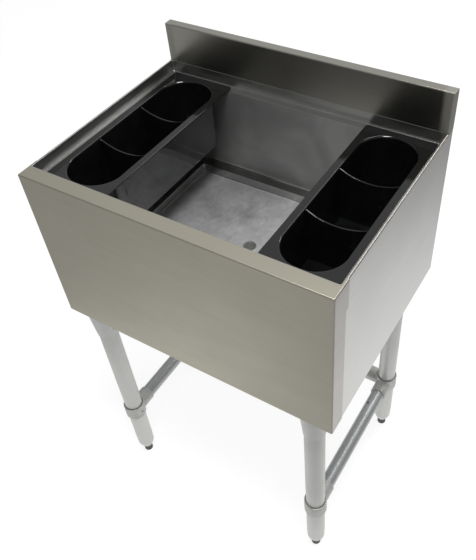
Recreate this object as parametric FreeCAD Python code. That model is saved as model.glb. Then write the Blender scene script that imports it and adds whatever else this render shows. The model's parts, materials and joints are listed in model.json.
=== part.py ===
import FreeCAD, Part
import math
import os

# An insulated bar ice bin on tubular legs, with a bottle holder at each end of the bin.
# Lengths are in millimetres. X runs to the right, Y to the rear and Z up.
# The origin is on the floor, under the middle of the cabinet.

# Cabinet
cabinet_width = 609.6
cabinet_depth = 457.2
cabinet_height = 348.6
rim_height = 914.4
sheet = 1.2
bend_radius = 2.5
front_rim = 30.0
side_rim = 4.5
apron_return = 38.0
apron_corner_return = 46.0
apron_corner_drop = 62.0
apron_step_radius = 4.0
side_rear_flange = 20.0

# Backsplash
splash_rise = 80.0
splash_depth = 20.0
splash_rear_hem = 25.0
splash_corner = 3.0

# Bin liner
ledge_drop = 25.0
front_ledge = 17.0
rear_ledge = 17.0
side_ledge = 13.1
recess_corner = 3.0
ledge_cove = 1.5
ledge_nose = 1.5
bin_depth = 213.4
bin_corner = 20.0
floor_cove = 6.0
floor_panel_side_margin = 64.0
floor_panel_end_margin = 24.0
floor_panel_step = 18.5
floor_panel_draft = 1.5
floor_panel_corner = 4.0

# Drain
drain_outer_radius = 13.35
drain_inner_radius = 10.45
drain_flange_radius = 22.0
drain_flange_thickness = 2.0
drain_stub = 30.0
drain_stub_radius = 13.0
drain_hole_gap = 1.0

# Bottom tray and leg channels
tray_recess = 10.0
tray_flange = 25.0
tray_corner = 4.0
channel_height = 38.0
channel_wall = 2.0
channel_inner_reach = 60.0
channel_outer_reach = 36.0
channel_end_gap = 0.5

# Insulation
foam_gap = 0.2

# Legs and their gussets
leg_radius = 20.65
leg_wall = 1.5
leg_side_inset = 52.3
leg_front_inset = 31.7
leg_rear_inset = 53.7
gusset_length = 86.0
gusset_top_radius = 29.0
gusset_bottom_radius = 22.2
gusset_plate = 3.0
gusset_inner_reach = 52.0
gusset_outer_reach = 28.0
gusset_bolt_margin = 9.0
slip_gap = 0.3

# Bolts, nuts and set screws
bolt_radius = 3.0
bolt_hole_gap = 0.3
bolt_flats = 10.0
bolt_head = 4.0
bolt_tail = 2.0
nut_height = 5.0
thread_gap = 0.1
set_screw_radius = 3.0
set_screw_length = 5.5
set_screw_socket_radius = 1.5
set_screw_socket_depth = 2.5
gusset_screw_rise = 20.0

# Brace collars and rails
rail_height = 190.0
rail_radius = 15.875
rail_wall = 1.5
rail_vent_radius = 2.5
rail_vent_setback = 42.0
rail_vent_tilt = 24.0
collar_radius = 24.5
collar_height = 42.0
collar_edge = 5.0
collar_mouth_gap = 2.0
collar_mouth_depth = 5.0
arm_radius = 18.5
arm_length = 27.0

# Feet
foot_tip_radius = 10.5
foot_tip_height = 19.0
foot_cone_radius = 11.0
foot_cone_height = 23.0
foot_cone_bulge = 0.8
foot_barrel_radius = 20.0
foot_barrel_height = 22.0
foot_stem_radius = 6.0
foot_stem_length = 36.0
insert_height = 42.0
insert_gap = 0.05

# Bottle holders
holder_width = 140.0
holder_side_gap = 8.1
holder_end_gap = 4.1
holder_flange = 3.0
holder_corner = 5.0
holder_depth = 115.0
holder_wall = 2.5
holder_lip = 2.7
holder_lip_land = 0.3
holder_base_radius = 4.0
holder_body_gap = 1.6
well_width = 110.0
well_draft = 3.0
well_count = 3
divider_thickness = 3.0
divider_end_drop = 3.0
divider_middle_drop = 17.0
well_drain_radius = 4.0

# Working allowances of the modelling itself
same_place = 0.001
overshoot = 5.0

# Places worked out from the sizes above
half_width = cabinet_width / 2
front = -cabinet_depth / 2
rear = cabinet_depth / 2
cabinet_bottom = rim_height - cabinet_height
splash_top = rim_height + splash_rise
splash_front = rear - splash_depth
side_outer = half_width - sheet
side_inner = side_outer - sheet
rear_outer = rear - sheet
rear_inner = rear_outer - sheet
apron_inner = front + sheet
recess_half = side_outer - side_rim
recess_front = front + front_rim
recess_rear = splash_front
ledge = rim_height - ledge_drop
bin_half = recess_half - side_ledge
bin_front = recess_front + front_ledge
bin_rear = recess_rear - rear_ledge
bin_middle = (bin_front + bin_rear) / 2
bin_floor = rim_height - bin_depth
panel_floor = bin_floor - floor_panel_step
tray_bottom = cabinet_bottom + tray_recess
tray_top = tray_bottom + sheet
channel_top = tray_top + channel_height
leg_x = half_width - leg_side_inset
front_leg_y = front + leg_front_inset
rear_leg_y = rear - leg_rear_inset
foot_height = foot_tip_height + foot_cone_height + foot_barrel_height
leg_top = tray_bottom - gusset_plate
gusset_bottom = tray_bottom - gusset_length
socket_radius = leg_radius + slip_gap
holder_x = recess_half - ledge_cove - holder_side_gap - holder_width / 2
holder_top = ledge + holder_flange
well_length = bin_rear - bin_front - 2 * (holder_wall + holder_body_gap)

# Each leg has a name, a side (right is +1) and an end (rear is +1).
leg_places = [
    ("front_left", -1, -1, front_leg_y),
    ("front_right", 1, -1, front_leg_y),
    ("rear_left", -1, 1, rear_leg_y),
    ("rear_right", 1, 1, rear_leg_y),
]


def vector(x, y, z):
    """A point or direction."""
    return FreeCAD.Vector(x, y, z)


def save(name, shape):
    """Write one sub-part to its own file."""
    shape.exportStep("parts/" + name + ".step")


def block(x0, x1, y0, y1, z0, z1):
    """A box between two corners."""
    return Part.makeBox(x1 - x0, y1 - y0, z1 - z0, vector(x0, y0, z0))


def rod(radius, z0, z1, x=0.0, y=0.0):
    """An upright cylinder."""
    return Part.makeCylinder(radius, z1 - z0, vector(x, y, z0))


def pipe(outer, inner, z0, z1, x=0.0, y=0.0):
    """An upright tube."""
    return rod(outer, z0, z1, x, y).cut(rod(inner, z0 - overshoot, z1 + overshoot, x, y))


def mirrored(shape):
    """The same shape on the other side of the cabinet's middle plane."""
    return shape.mirror(vector(0, 0, 0), vector(1, 0, 0))


def pick_edges(shape, middles):
    """The straight edges of a shape that have their middles at the given points."""
    return [edge for edge in shape.Edges
            if any((edge.CenterOfMass - middle).Length < same_place for middle in middles)]


def level_edges(shape, z):
    """The edges of a shape that lie level at one height."""
    return [edge for edge in shape.Edges
            if edge.BoundBox.ZMin > z - same_place and edge.BoundBox.ZMax < z + same_place]


def rounded_outline(x0, x1, y0, y1, radius, z):
    """A level rectangle with round corners, as a closed wire."""
    centres = [
        (x1 - radius, y1 - radius, 0),
        (x0 + radius, y1 - radius, 90),
        (x0 + radius, y0 + radius, 180),
        (x1 - radius, y0 + radius, 270),
    ]
    arcs = []
    for cx, cy, start in centres:
        turns = [math.radians(start + turn) for turn in (0, 45, 90)]
        arcs.append([vector(cx + radius * math.cos(a), cy + radius * math.sin(a), z) for a in turns])
    edges = []
    for index, arc in enumerate(arcs):
        edges.append(Part.Arc(*arc).toShape())
        following = arcs[(index + 1) % len(arcs)][0]
        if (following - arc[-1]).Length > same_place:
            edges.append(Part.LineSegment(arc[-1], following).toShape())
    return Part.Wire(edges)


def rounded_prism(x0, x1, y0, y1, radius, z0, z1):
    """An upright prism on a rectangle with round corners."""
    outline = rounded_outline(x0, x1, y0, y1, radius, z0)
    return Part.Face(outline).extrude(vector(0, 0, z1 - z0))


def tapered_prism(lower, upper):
    """A straight-sided solid between two level outlines."""
    return Part.makeLoft([lower, upper], True, True)


def hood(x0, x1, y0, y1, z0, z1, radius):
    """A box with its front, top and front corner edges rounded, as a folded sheet has them."""
    body = block(x0, x1, y0, y1, z0, z1)
    middle_x = (x0 + x1) / 2
    middle_y = (y0 + y1) / 2
    middle_z = (z0 + z1) / 2
    middles = [vector(middle_x, y0, z1)]
    for x in (x0, x1):
        middles.append(vector(x, y0, middle_z))
        middles.append(vector(x, middle_y, z1))
    return body.makeFillet(radius, pick_edges(body, middles))


def hexagon(flats, z0, z1, x, y):
    """An upright hexagonal prism."""
    corner = flats / math.sqrt(3)
    turns = [math.radians(60 * index) for index in range(7)]
    points = [vector(x + corner * math.cos(a), y + corner * math.sin(a), z0) for a in turns]
    return Part.Face(Part.makePolygon(points)).extrude(vector(0, 0, z1 - z0))


def recess_prism(offset, z0, z1):
    """The liner's upper recess, grown all round by an offset."""
    return rounded_prism(-recess_half - offset, recess_half + offset, recess_front - offset,
                         recess_rear + offset, recess_corner + offset, z0, z1)


def bin_prism(offset, z0, z1):
    """The bin under the ledge, grown all round by an offset."""
    return rounded_prism(-bin_half - offset, bin_half + offset, bin_front - offset,
                         bin_rear + offset, bin_corner + offset, z0, z1)


def front_apron():
    """Front face, front rim and the returns round both sides, from one sheet."""
    back = front + apron_corner_return
    outer = hood(-half_width, half_width, front, back, cabinet_bottom, rim_height, bend_radius)
    inner = hood(-side_outer, side_outer, apron_inner, back + overshoot,
                 cabinet_bottom - overshoot, rim_height - sheet, bend_radius - sheet)
    shell = outer.cut(inner)
    narrow = front + apron_return
    step = rim_height - apron_corner_drop
    rise = apron_step_radius
    middle = (narrow + back) / 2
    sway = (back - narrow) / 2
    lean = sway * math.sqrt(0.5)
    lift = rise * math.sqrt(0.5)
    lower_arc = [vector(0, narrow, step - rise), vector(0, middle - lean, step - rise + lift),
                 vector(0, middle, step)]
    upper_arc = [vector(0, middle, step), vector(0, middle + lean, step + rise - lift),
                 vector(0, back, step + rise)]
    low = cabinet_bottom - overshoot
    high = rim_height + overshoot
    fore = front - overshoot
    edges = [
        Part.LineSegment(vector(0, fore, low), vector(0, narrow, low)).toShape(),
        Part.LineSegment(vector(0, narrow, low), lower_arc[0]).toShape(),
        Part.Arc(*lower_arc).toShape(),
        Part.Arc(*upper_arc).toShape(),
        Part.LineSegment(upper_arc[-1], vector(0, back, high)).toShape(),
        Part.LineSegment(vector(0, back, high), vector(0, fore, high)).toShape(),
        Part.LineSegment(vector(0, fore, high), vector(0, fore, low)).toShape(),
    ]
    side_view = Part.Face(Part.Wire(edges))
    side_view.translate(vector(-cabinet_width, 0, 0))
    kept = side_view.extrude(vector(2 * cabinet_width, 0, 0))
    opening = recess_prism(sheet, ledge, rim_height + overshoot)
    return shell.common(kept).cut(opening)


def side_panel():
    """The right side panel: flat sheet, folded rim, rear flange and a tab behind the apron's return."""
    strip_front = front + apron_corner_return
    strip_inner = recess_half - recess_corner
    outer = block(strip_inner, side_outer, strip_front, splash_front, cabinet_bottom, rim_height)
    middle_y = (strip_front + splash_front) / 2
    outer = outer.makeFillet(bend_radius, pick_edges(outer, [vector(side_outer, middle_y, rim_height)]))
    inner = block(strip_inner - overshoot, side_inner, strip_front - overshoot, splash_front + overshoot,
                  cabinet_bottom - overshoot, rim_height - sheet)
    inner_edge = vector(side_inner, middle_y, rim_height - sheet)
    inner = inner.makeFillet(bend_radius - sheet, pick_edges(inner, [inner_edge]))
    opening = recess_prism(sheet, ledge, rim_height + overshoot)
    folded = outer.cut(inner).cut(opening)
    tab = block(side_inner, side_outer, front + bend_radius, strip_front, cabinet_bottom,
                rim_height - bend_radius)
    tail = block(side_inner, side_outer, splash_front, rear_outer, cabinet_bottom, rim_height)
    flange = block(side_inner - side_rear_flange, side_inner, rear_inner - sheet, rear_inner,
                   tray_bottom + tray_flange, ledge)
    return folded.fuse(tab).fuse(tail).fuse(flange).removeSplitter()


def rear_panel():
    """Flat sheet that closes the rear of the cabinet and of the backsplash."""
    return block(-side_inner, side_inner, rear_inner, rear_outer, cabinet_bottom, splash_top - bend_radius)


def splash_form(offset, low):
    """The backsplash as a solid, shrunk by an offset, with rounder upright corners than top edges."""
    half = side_outer - offset
    fore = splash_front + offset
    aft = rear - offset
    top = splash_top - offset
    body = block(-half, half, fore, aft, low, top)
    uprights = [vector(x, fore, (low + top) / 2) for x in (-half, half)]
    body = body.makeFillet(splash_corner - offset, pick_edges(body, uprights))
    top_edges = [edge for edge in level_edges(body, top) if edge.BoundBox.YMin < aft - same_place]
    return body.makeFillet(bend_radius - offset, top_edges)


def backsplash():
    """Front face, top return, end returns and a short hem down the rear."""
    outer = splash_form(0.0, rim_height)
    inner = splash_form(sheet, rim_height - overshoot)
    below_hem = block(-side_inner, side_inner, rear_outer - overshoot, rear + overshoot,
                      rim_height - overshoot, splash_top - splash_rear_hem)
    return outer.cut(inner).cut(below_hem)


def floor_panel(offset):
    """The sunk panel in the bin floor, with slightly leaning sides, grown by an offset."""
    half = bin_half - floor_panel_side_margin + offset
    y0 = bin_front + floor_panel_end_margin - offset
    y1 = bin_rear - floor_panel_end_margin + offset
    lean = floor_panel_draft
    corner = floor_panel_corner + offset
    lower = rounded_outline(-half + lean, half - lean, y0 + lean, y1 - lean, corner, panel_floor - offset)
    upper = rounded_outline(-half, half, y0, y1, corner + lean, bin_floor - offset)
    return tapered_prism(lower, upper)


def bin_liner():
    """Upstand, ledge, bin walls and floor, from welded sheet of one thickness."""
    upper_outer = recess_prism(sheet, ledge - sheet, rim_height)
    upper_outer = upper_outer.makeFillet(ledge_cove + sheet, level_edges(upper_outer, ledge - sheet))
    lower_outer = bin_prism(sheet, bin_floor - sheet, ledge)
    lower_outer = lower_outer.makeFillet(floor_cove + sheet, level_edges(lower_outer, bin_floor - sheet))
    outer = upper_outer.fuse(lower_outer).fuse(floor_panel(sheet))
    upper_inner = recess_prism(0.0, ledge, rim_height + overshoot)
    upper_inner = upper_inner.makeFillet(ledge_cove, level_edges(upper_inner, ledge))
    lower_inner = bin_prism(0.0, bin_floor, ledge + ledge_cove)
    lower_inner = lower_inner.makeFillet(floor_cove, level_edges(lower_inner, bin_floor))
    hollow = upper_inner.fuse(lower_inner).fuse(floor_panel(0.0)).removeSplitter()
    nose = [edge for edge in level_edges(hollow, ledge)
            if edge.BoundBox.XMax <= bin_half + same_place and edge.BoundBox.XMin >= -bin_half - same_place
            and edge.BoundBox.YMin >= bin_front - same_place and edge.BoundBox.YMax <= bin_rear + same_place]
    hollow = hollow.makeFillet(ledge_nose, nose)
    drain = rod(drain_outer_radius + thread_gap, panel_floor - overshoot, bin_floor, 0.0, bin_middle)
    return outer.cut(hollow).cut(drain)


def drain_nipple():
    """Pipe stub welded into the bin floor, open right through, with a flange under the floor."""
    low = cabinet_bottom - drain_stub
    under_floor = panel_floor - sheet
    body = rod(drain_outer_radius, cabinet_bottom, panel_floor, 0.0, bin_middle)
    stub = rod(drain_stub_radius, low, cabinet_bottom, 0.0, bin_middle)
    flange = rod(drain_flange_radius, under_floor - drain_flange_thickness, under_floor, 0.0, bin_middle)
    bore = rod(drain_inner_radius, low - overshoot, panel_floor + overshoot, 0.0, bin_middle)
    return body.fuse(stub).fuse(flange).cut(bore)


def gusset_bolt_places():
    """Bolt centres of all gussets: three each, clear of the cone."""
    inner = gusset_inner_reach - gusset_bolt_margin
    outer = gusset_outer_reach - gusset_bolt_margin
    places = []
    for name, side, end, leg_y in leg_places:
        for across, along in ((-inner, -inner), (-inner, outer), (outer, -inner)):
            places.append((side * (leg_x + across), leg_y + end * along))
    return places


def with_bolt_holes(shape):
    """Cut the gusset bolts' holes through whatever they pass."""
    for x, y in gusset_bolt_places():
        shape = shape.cut(rod(bolt_radius + bolt_hole_gap, gusset_bottom, channel_top, x, y))
    return shape


def bottom_tray():
    """Folded tray that closes the cabinet, with its flanges against the panels."""
    y1 = rear_inner
    outer = rounded_prism(-side_inner, side_inner, apron_inner, y1, tray_corner, tray_bottom,
                          tray_bottom + tray_flange)
    inner = rounded_prism(-side_inner + sheet, side_inner - sheet, apron_inner + sheet, y1 - sheet,
                          tray_corner - sheet, tray_top, tray_bottom + tray_flange + overshoot)
    drain = rod(drain_outer_radius + drain_hole_gap, cabinet_bottom, channel_top, 0.0, bin_middle)
    return with_bolt_holes(outer.cut(inner).cut(drain))


def leg_channel():
    """The right leg channel: an open trough that lies in the tray over both legs."""
    x0 = leg_x - channel_inner_reach
    x1 = leg_x + channel_outer_reach
    y0 = apron_inner + sheet + channel_end_gap
    y1 = rear_inner - sheet - channel_end_gap
    outer = block(x0, x1, y0, y1, tray_top, channel_top)
    inner = block(x0 + channel_wall, x1 - channel_wall, y0 - overshoot, y1 + overshoot,
                  tray_top + channel_wall, channel_top + overshoot)
    return with_bolt_holes(outer.cut(inner))


def insulation():
    """Foam slabs between the liner and the shell, by name."""
    wide = side_inner - foam_gap
    fore = apron_inner + foam_gap
    aft = rear_inner - sheet - foam_gap
    liner_half = bin_half + sheet + foam_gap
    liner_front = bin_front - sheet - foam_gap
    liner_rear = bin_rear + sheet + foam_gap
    under_ledge = ledge - sheet - foam_gap
    under_floor = bin_floor - sheet - foam_gap
    drain = rod(drain_flange_radius + drain_hole_gap, tray_top, bin_floor, 0.0, bin_middle)
    bottom = block(-wide, wide, liner_front, liner_rear, channel_top, under_floor)
    bottom = bottom.cut(floor_panel(sheet + foam_gap)).cut(drain)
    right = block(liner_half, wide, liner_front, liner_rear, under_floor, under_ledge)
    return {
        "front_insulation": block(-wide, wide, fore, liner_front, channel_top, under_ledge),
        "rear_insulation": block(-wide, wide, liner_rear, aft, channel_top, under_ledge),
        "bottom_insulation": bottom,
        "right_insulation": right,
        "left_insulation": mirrored(right),
    }


def set_screw(centre, facing):
    """A socket set screw with its tip on the leg and its head facing away from the leg's axis."""
    tip = centre + facing * leg_radius
    body = Part.makeCylinder(set_screw_radius, set_screw_length, tip, facing)
    mouth = tip + facing * (set_screw_length - set_screw_socket_depth)
    socket = Part.makeCylinder(set_screw_socket_radius, set_screw_socket_depth + overshoot, mouth, facing)
    return body.cut(socket)


def screw_hole(centre, facing):
    """The hole for a set screw, from the leg's axis outwards."""
    radius = set_screw_radius + thread_gap
    return Part.makeCylinder(radius, collar_radius + gusset_top_radius, centre, facing)


def gusset_screw_place(side, leg_y):
    """Centre and facing of a gusset's set screw: under the cabinet's middle, out of sight."""
    return vector(side * leg_x, leg_y, gusset_bottom + gusset_screw_rise), vector(-side, 0, 0)


def collar_screw_place(side, end, leg_y):
    """Centre and facing of a collar's set screw, on a side that has no arm."""
    facing = vector(0, 1, 0) if end > 0 else vector(-side, 0, 0)
    return vector(side * leg_x, leg_y, rail_height), facing


def leg_gusset(side, end, leg_y):
    """Cone that holds the leg's upper end, with an offset plate bolted up under the tray."""
    x = side * leg_x
    across = sorted([x - side * gusset_inner_reach, x + side * gusset_outer_reach])
    along = sorted([leg_y - end * gusset_inner_reach, leg_y + end * gusset_outer_reach])
    plate = block(across[0], across[1], along[0], along[1], leg_top, tray_bottom)
    cone = Part.makeCone(gusset_bottom_radius, gusset_top_radius, leg_top - gusset_bottom,
                         vector(x, leg_y, gusset_bottom))
    bore = rod(socket_radius, gusset_bottom - overshoot, leg_top, x, leg_y)
    screw = screw_hole(*gusset_screw_place(side, leg_y))
    return with_bolt_holes(plate.fuse(cone).cut(bore).cut(screw))


def leg_tube(side, leg_y):
    """Plain tube from the foot to the gusset's plate."""
    return pipe(leg_radius, leg_radius - leg_wall, foot_height, leg_top, side * leg_x, leg_y)


def brace_collar(side, end, leg_y):
    """Collar round the leg with a socket arm for each rail that meets it."""
    x = side * leg_x
    low = rail_height - collar_height / 2
    high = rail_height + collar_height / 2
    centre = vector(x, leg_y, rail_height)
    arms = [vector(0, -end, 0)]
    if end > 0:
        arms.append(vector(-side, 0, 0))
    body = rod(collar_radius, low, high, x, leg_y)
    body = body.makeFillet(collar_edge, level_edges(body, low))
    for arm in arms:
        body = body.fuse(Part.makeCylinder(arm_radius, collar_radius + arm_length, centre, arm))
    body = body.cut(rod(socket_radius, low - overshoot, high + overshoot, x, leg_y))
    mouth_floor = high - collar_mouth_depth
    body = body.cut(rod(socket_radius + collar_mouth_gap, mouth_floor, high + overshoot, x, leg_y))
    for arm in arms:
        mouth = centre + arm * collar_radius
        body = body.cut(Part.makeCylinder(rail_radius + slip_gap, arm_length + overshoot, mouth, arm))
    return body.cut(screw_hole(*collar_screw_place(side, end, leg_y)))


def brace_rail(start, end):
    """Tube between the sockets of two collars."""
    along = end - start
    along.normalize()
    foot = start + along * collar_radius
    length = (end - start).Length - 2 * collar_radius
    outer = Part.makeCylinder(rail_radius, length, foot, along)
    return outer.cut(Part.makeCylinder(rail_radius - rail_wall, length, foot, along))


def side_rail(side):
    """A rail from front to rear with a vent hole high on its inner side, near the rear collar's arm."""
    fore = vector(side * leg_x, front_leg_y, rail_height)
    aft = vector(side * leg_x, rear_leg_y, rail_height)
    vent_y = rear_leg_y - collar_radius - arm_length - rail_vent_setback
    tilt = math.radians(rail_vent_tilt)
    facing = vector(-side * math.sin(tilt), 0, math.cos(tilt))
    vent = Part.makeCylinder(rail_vent_radius, rail_radius + overshoot,
                             vector(side * leg_x, vent_y, rail_height), facing)
    return brace_rail(fore, aft).cut(vent)


def bullet_foot(side, leg_y):
    """Turned foot: tip, cone, barrel and a stem that screws into the leg's insert."""
    cone_top = foot_tip_height + foot_cone_height
    cone_foot = vector(foot_cone_radius, 0, foot_tip_height)
    cone_head = vector(foot_barrel_radius, 0, cone_top)
    slant = cone_head - cone_foot
    slant.normalize()
    bulge = (cone_foot + cone_head) * 0.5 + vector(slant.z, 0, -slant.x) * foot_cone_bulge
    below = [
        vector(0, 0, 0),
        vector(foot_tip_radius, 0, 0),
        vector(foot_tip_radius, 0, foot_tip_height),
        cone_foot,
    ]
    above = [
        cone_head,
        vector(foot_barrel_radius, 0, foot_height),
        vector(foot_stem_radius, 0, foot_height),
        vector(foot_stem_radius, 0, foot_height + foot_stem_length),
        vector(0, 0, foot_height + foot_stem_length),
        vector(0, 0, 0),
    ]
    edges = [Part.LineSegment(a, b).toShape() for a, b in zip(below, below[1:])]
    edges.append(Part.Arc(cone_foot, bulge, cone_head).toShape())
    edges.extend(Part.LineSegment(a, b).toShape() for a, b in zip(above, above[1:]))
    foot = Part.Face(Part.Wire(edges)).revolve(vector(0, 0, 0), vector(0, 0, 1), 360)
    foot.translate(vector(side * leg_x, leg_y, 0))
    return foot


def foot_insert(side, leg_y):
    """Threaded plug in the leg's lower end."""
    outer = leg_radius - leg_wall - insert_gap
    return pipe(outer, foot_stem_radius + slip_gap, foot_height, foot_height + insert_height,
                side * leg_x, leg_y)


def well_outline(offset, z):
    """The round-ended outline of a holder's well at one height, narrower lower down."""
    narrowing = well_draft * (holder_top - z) / holder_depth
    half_width_here = well_width / 2 + offset - narrowing
    half_length_here = well_length / 2 + offset - narrowing
    return rounded_outline(holder_x - half_width_here, holder_x + half_width_here,
                           bin_middle - half_length_here, bin_middle + half_length_here,
                           half_width_here, z)


def bottle_holder():
    """The right holder: one moulding with a flange, a long well, dividers and a drain in each part."""
    base = holder_top - holder_depth
    floor = base + holder_wall
    flange = rounded_prism(holder_x - holder_width / 2, holder_x + holder_width / 2,
                           recess_front + ledge_cove + holder_end_gap,
                           recess_rear - ledge_cove - holder_end_gap,
                           holder_corner, ledge, holder_top)
    body = tapered_prism(well_outline(holder_wall, base), well_outline(holder_wall, holder_top))
    body = body.makeFillet(holder_base_radius, level_edges(body, base))
    hollow = tapered_prism(well_outline(0.0, floor), well_outline(0.0, holder_top))
    inner_radius = holder_base_radius - holder_wall
    hollow = hollow.makeFillet(inner_radius, level_edges(hollow, floor))
    holder = flange.fuse(body).removeSplitter().cut(hollow)
    lip = [edge for edge in level_edges(holder, holder_top)
           if edge.BoundBox.XMin > holder_x - holder_width / 2 + same_place
           and edge.BoundBox.XMax < holder_x + holder_width / 2 - same_place
           and edge.BoundBox.YMin > bin_middle - well_length / 2 - same_place
           and edge.BoundBox.YMax < bin_middle + well_length / 2 + same_place]
    holder = holder.makeFillet(min(holder_lip, holder_flange - holder_lip_land), lip)
    sagitta = divider_middle_drop - divider_end_drop
    half_chord = well_width / 2
    scoop_radius = (half_chord ** 2 + sagitta ** 2) / (2 * sagitta)
    scoop_axis = holder_top - divider_middle_drop + scoop_radius
    pitch = well_length / well_count
    solid_well = tapered_prism(well_outline(holder_wall / 2, floor - holder_wall / 2),
                               well_outline(holder_wall / 2, holder_top))
    for index in range(1, well_count):
        y = bin_middle - well_length / 2 + index * pitch
        slab = block(holder_x - holder_width, holder_x + holder_width, y - divider_thickness / 2,
                     y + divider_thickness / 2, floor - holder_wall / 2, holder_top - divider_end_drop)
        scoop = Part.makeCylinder(scoop_radius, divider_thickness + 2 * overshoot,
                                  vector(holder_x, y - divider_thickness / 2 - overshoot, scoop_axis),
                                  vector(0, 1, 0))
        holder = holder.fuse(slab.common(solid_well).cut(scoop))
    for index in range(well_count):
        y = bin_middle - well_length / 2 + (index + 0.5) * pitch
        holder = holder.cut(rod(well_drain_radius, base - overshoot, floor + overshoot, holder_x, y))
    return holder


os.makedirs("parts", exist_ok=True)

# Shell, liner and what lies between them
side_sheet = side_panel()
save("front_apron", front_apron())
save("right_side_panel", side_sheet)
save("left_side_panel", mirrored(side_sheet))
save("rear_panel", rear_panel())
save("backsplash", backsplash())
save("bin_liner", bin_liner())
save("drain_nipple", drain_nipple())
save("bottom_tray", bottom_tray())
channel = leg_channel()
save("right_leg_channel", channel)
save("left_leg_channel", mirrored(channel))
for slab_name, slab_shape in insulation().items():
    save(slab_name, slab_shape)

# Bottle holders
holder_shape = bottle_holder()
save("right_bottle_holder", holder_shape)
save("left_bottle_holder", mirrored(holder_shape))

# Legs with their gussets, collars and feet
gusset_screws = []
collar_screws = []
for leg_name, leg_side, leg_end, leg_y_place in leg_places:
    save(leg_name + "_gusset", leg_gusset(leg_side, leg_end, leg_y_place))
    save(leg_name + "_leg", leg_tube(leg_side, leg_y_place))
    save(leg_name + "_collar", brace_collar(leg_side, leg_end, leg_y_place))
    save(leg_name + "_foot", bullet_foot(leg_side, leg_y_place))
    save(leg_name + "_foot_insert", foot_insert(leg_side, leg_y_place))
    gusset_screws.append(set_screw(*gusset_screw_place(leg_side, leg_y_place)))
    collar_screws.append(set_screw(*collar_screw_place(leg_side, leg_end, leg_y_place)))
save("gusset_set_screws", Part.makeCompound(gusset_screws))
save("collar_set_screws", Part.makeCompound(collar_screws))

# Brace rails
save("left_rail", side_rail(-1))
save("right_rail", side_rail(1))
save("rear_rail", brace_rail(vector(-leg_x, rear_leg_y, rail_height), vector(leg_x, rear_leg_y, rail_height)))

# Bolts from below each gusset plate, nuts inside the leg channels
channel_floor = tray_top + channel_wall
bolts = []
nuts = []
for bolt_x, bolt_y in gusset_bolt_places():
    head = hexagon(bolt_flats, leg_top - bolt_head, leg_top, bolt_x, bolt_y)
    shank = rod(bolt_radius, leg_top, channel_floor + nut_height + bolt_tail, bolt_x, bolt_y)
    bolts.append(head.fuse(shank))
    nut = hexagon(bolt_flats, channel_floor, channel_floor + nut_height, bolt_x, bolt_y)
    nut_bore = rod(bolt_radius + thread_gap, tray_top, channel_top, bolt_x, bolt_y)
    nuts.append(nut.cut(nut_bore))
save("gusset_bolts", Part.makeCompound(bolts))
save("gusset_nuts", Part.makeCompound(nuts))
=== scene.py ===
import json
import math

import bmesh
import bpy
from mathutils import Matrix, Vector


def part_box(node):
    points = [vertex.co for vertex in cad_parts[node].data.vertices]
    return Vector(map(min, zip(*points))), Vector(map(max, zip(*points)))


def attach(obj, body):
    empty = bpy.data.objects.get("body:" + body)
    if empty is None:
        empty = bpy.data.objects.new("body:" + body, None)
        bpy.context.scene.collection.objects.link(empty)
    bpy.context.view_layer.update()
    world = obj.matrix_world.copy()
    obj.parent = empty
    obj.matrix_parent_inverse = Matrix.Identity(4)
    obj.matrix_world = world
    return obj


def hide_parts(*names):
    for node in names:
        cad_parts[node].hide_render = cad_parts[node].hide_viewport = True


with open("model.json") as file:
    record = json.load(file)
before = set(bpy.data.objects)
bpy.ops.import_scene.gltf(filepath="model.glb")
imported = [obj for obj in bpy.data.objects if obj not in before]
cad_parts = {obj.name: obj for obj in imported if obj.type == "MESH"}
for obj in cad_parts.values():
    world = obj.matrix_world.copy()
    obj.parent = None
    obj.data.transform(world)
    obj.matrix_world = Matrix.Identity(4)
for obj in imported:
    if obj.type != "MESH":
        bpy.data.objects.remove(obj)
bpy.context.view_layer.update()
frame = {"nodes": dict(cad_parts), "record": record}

bl_info = {
    "name": "Ice Bin Looks",
    "version": (1, 0, 0),
    "blender": (4, 5, 0),
    "location": "3D View > Sidebar > Ice Bin",
    "description": "Models and finishes a bar ice bin with bottle holders round its packed frame",
    "category": "Object",
}

MM = 0.001
SAME = 1e-5
OVERSHOOT = 20 * MM
RING_STACK = 1.0
LEGS = ("front_left", "front_right", "rear_left", "rear_right")
UP = Vector((0, 0, 1))
ALONG_X, ALONG_Y, ALONG_Z = range(3)
FACING = 0.5

# How finely folds, corners and tubes are rounded, and how a gusset's bolts are told apart
SMOOTH_ANGLE = math.radians(32)
SHARP_ANGLE = math.radians(50)
FACE_WEIGHT = 50
EDGE_STEPS = 2
SOFT_STEPS = 3
LIP_STEPS = 4
BEND_STEPS = 5
SMOOTH_STEPS = 6
COVE_STEPS = 7
ROUND_STEPS = 8
CORNER_STEPS = 10
WELL_STEPS = 18
HOLE_SIDES = 32
TUBE_SIDES = 64
CAST_SIDES = 96
SCOOP_SIDES = 256
CAST_SMOOTHING = 6
BOLT_REACH = 70 * MM
BOLT_SPREAD = 15 * MM

# The studio: floor, lamps' places and spans, where the sky glows, and where the floor's own light fades
FLOOR_RADIUS = 9.0
FLOOR_SIDES = 128
FLOOR_SHADE = 0.985
LAMP_AIM = Vector((0, 0, 0.8))
SOFTBOX_PLACE = (0.45, -0.5, 3.1)
SOFTBOX_SPANS = (0.6, 0.9)
STRIP_PLACE = (0.95, 2.0, 2.9)
STRIP_SPANS = (0.5, 1.8)
GLOW_TOWARD = (0.05, 0.86, 0.51)
GLOW_EDGE = 0.30
GLOW_CORE = 0.80
FRONT_FADE = (-0.62, -0.33)
LEFT_FADE = (-1.10, -0.70)
LEFT_SLANT = 0.29
RIGHT_FADE = (0.66, 1.25)
RIGHT_SLANT = -0.19
SENSOR_WIDTH = 36.0
VIEW_END = 50.0


# Sizes and colours that a user would change

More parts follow.
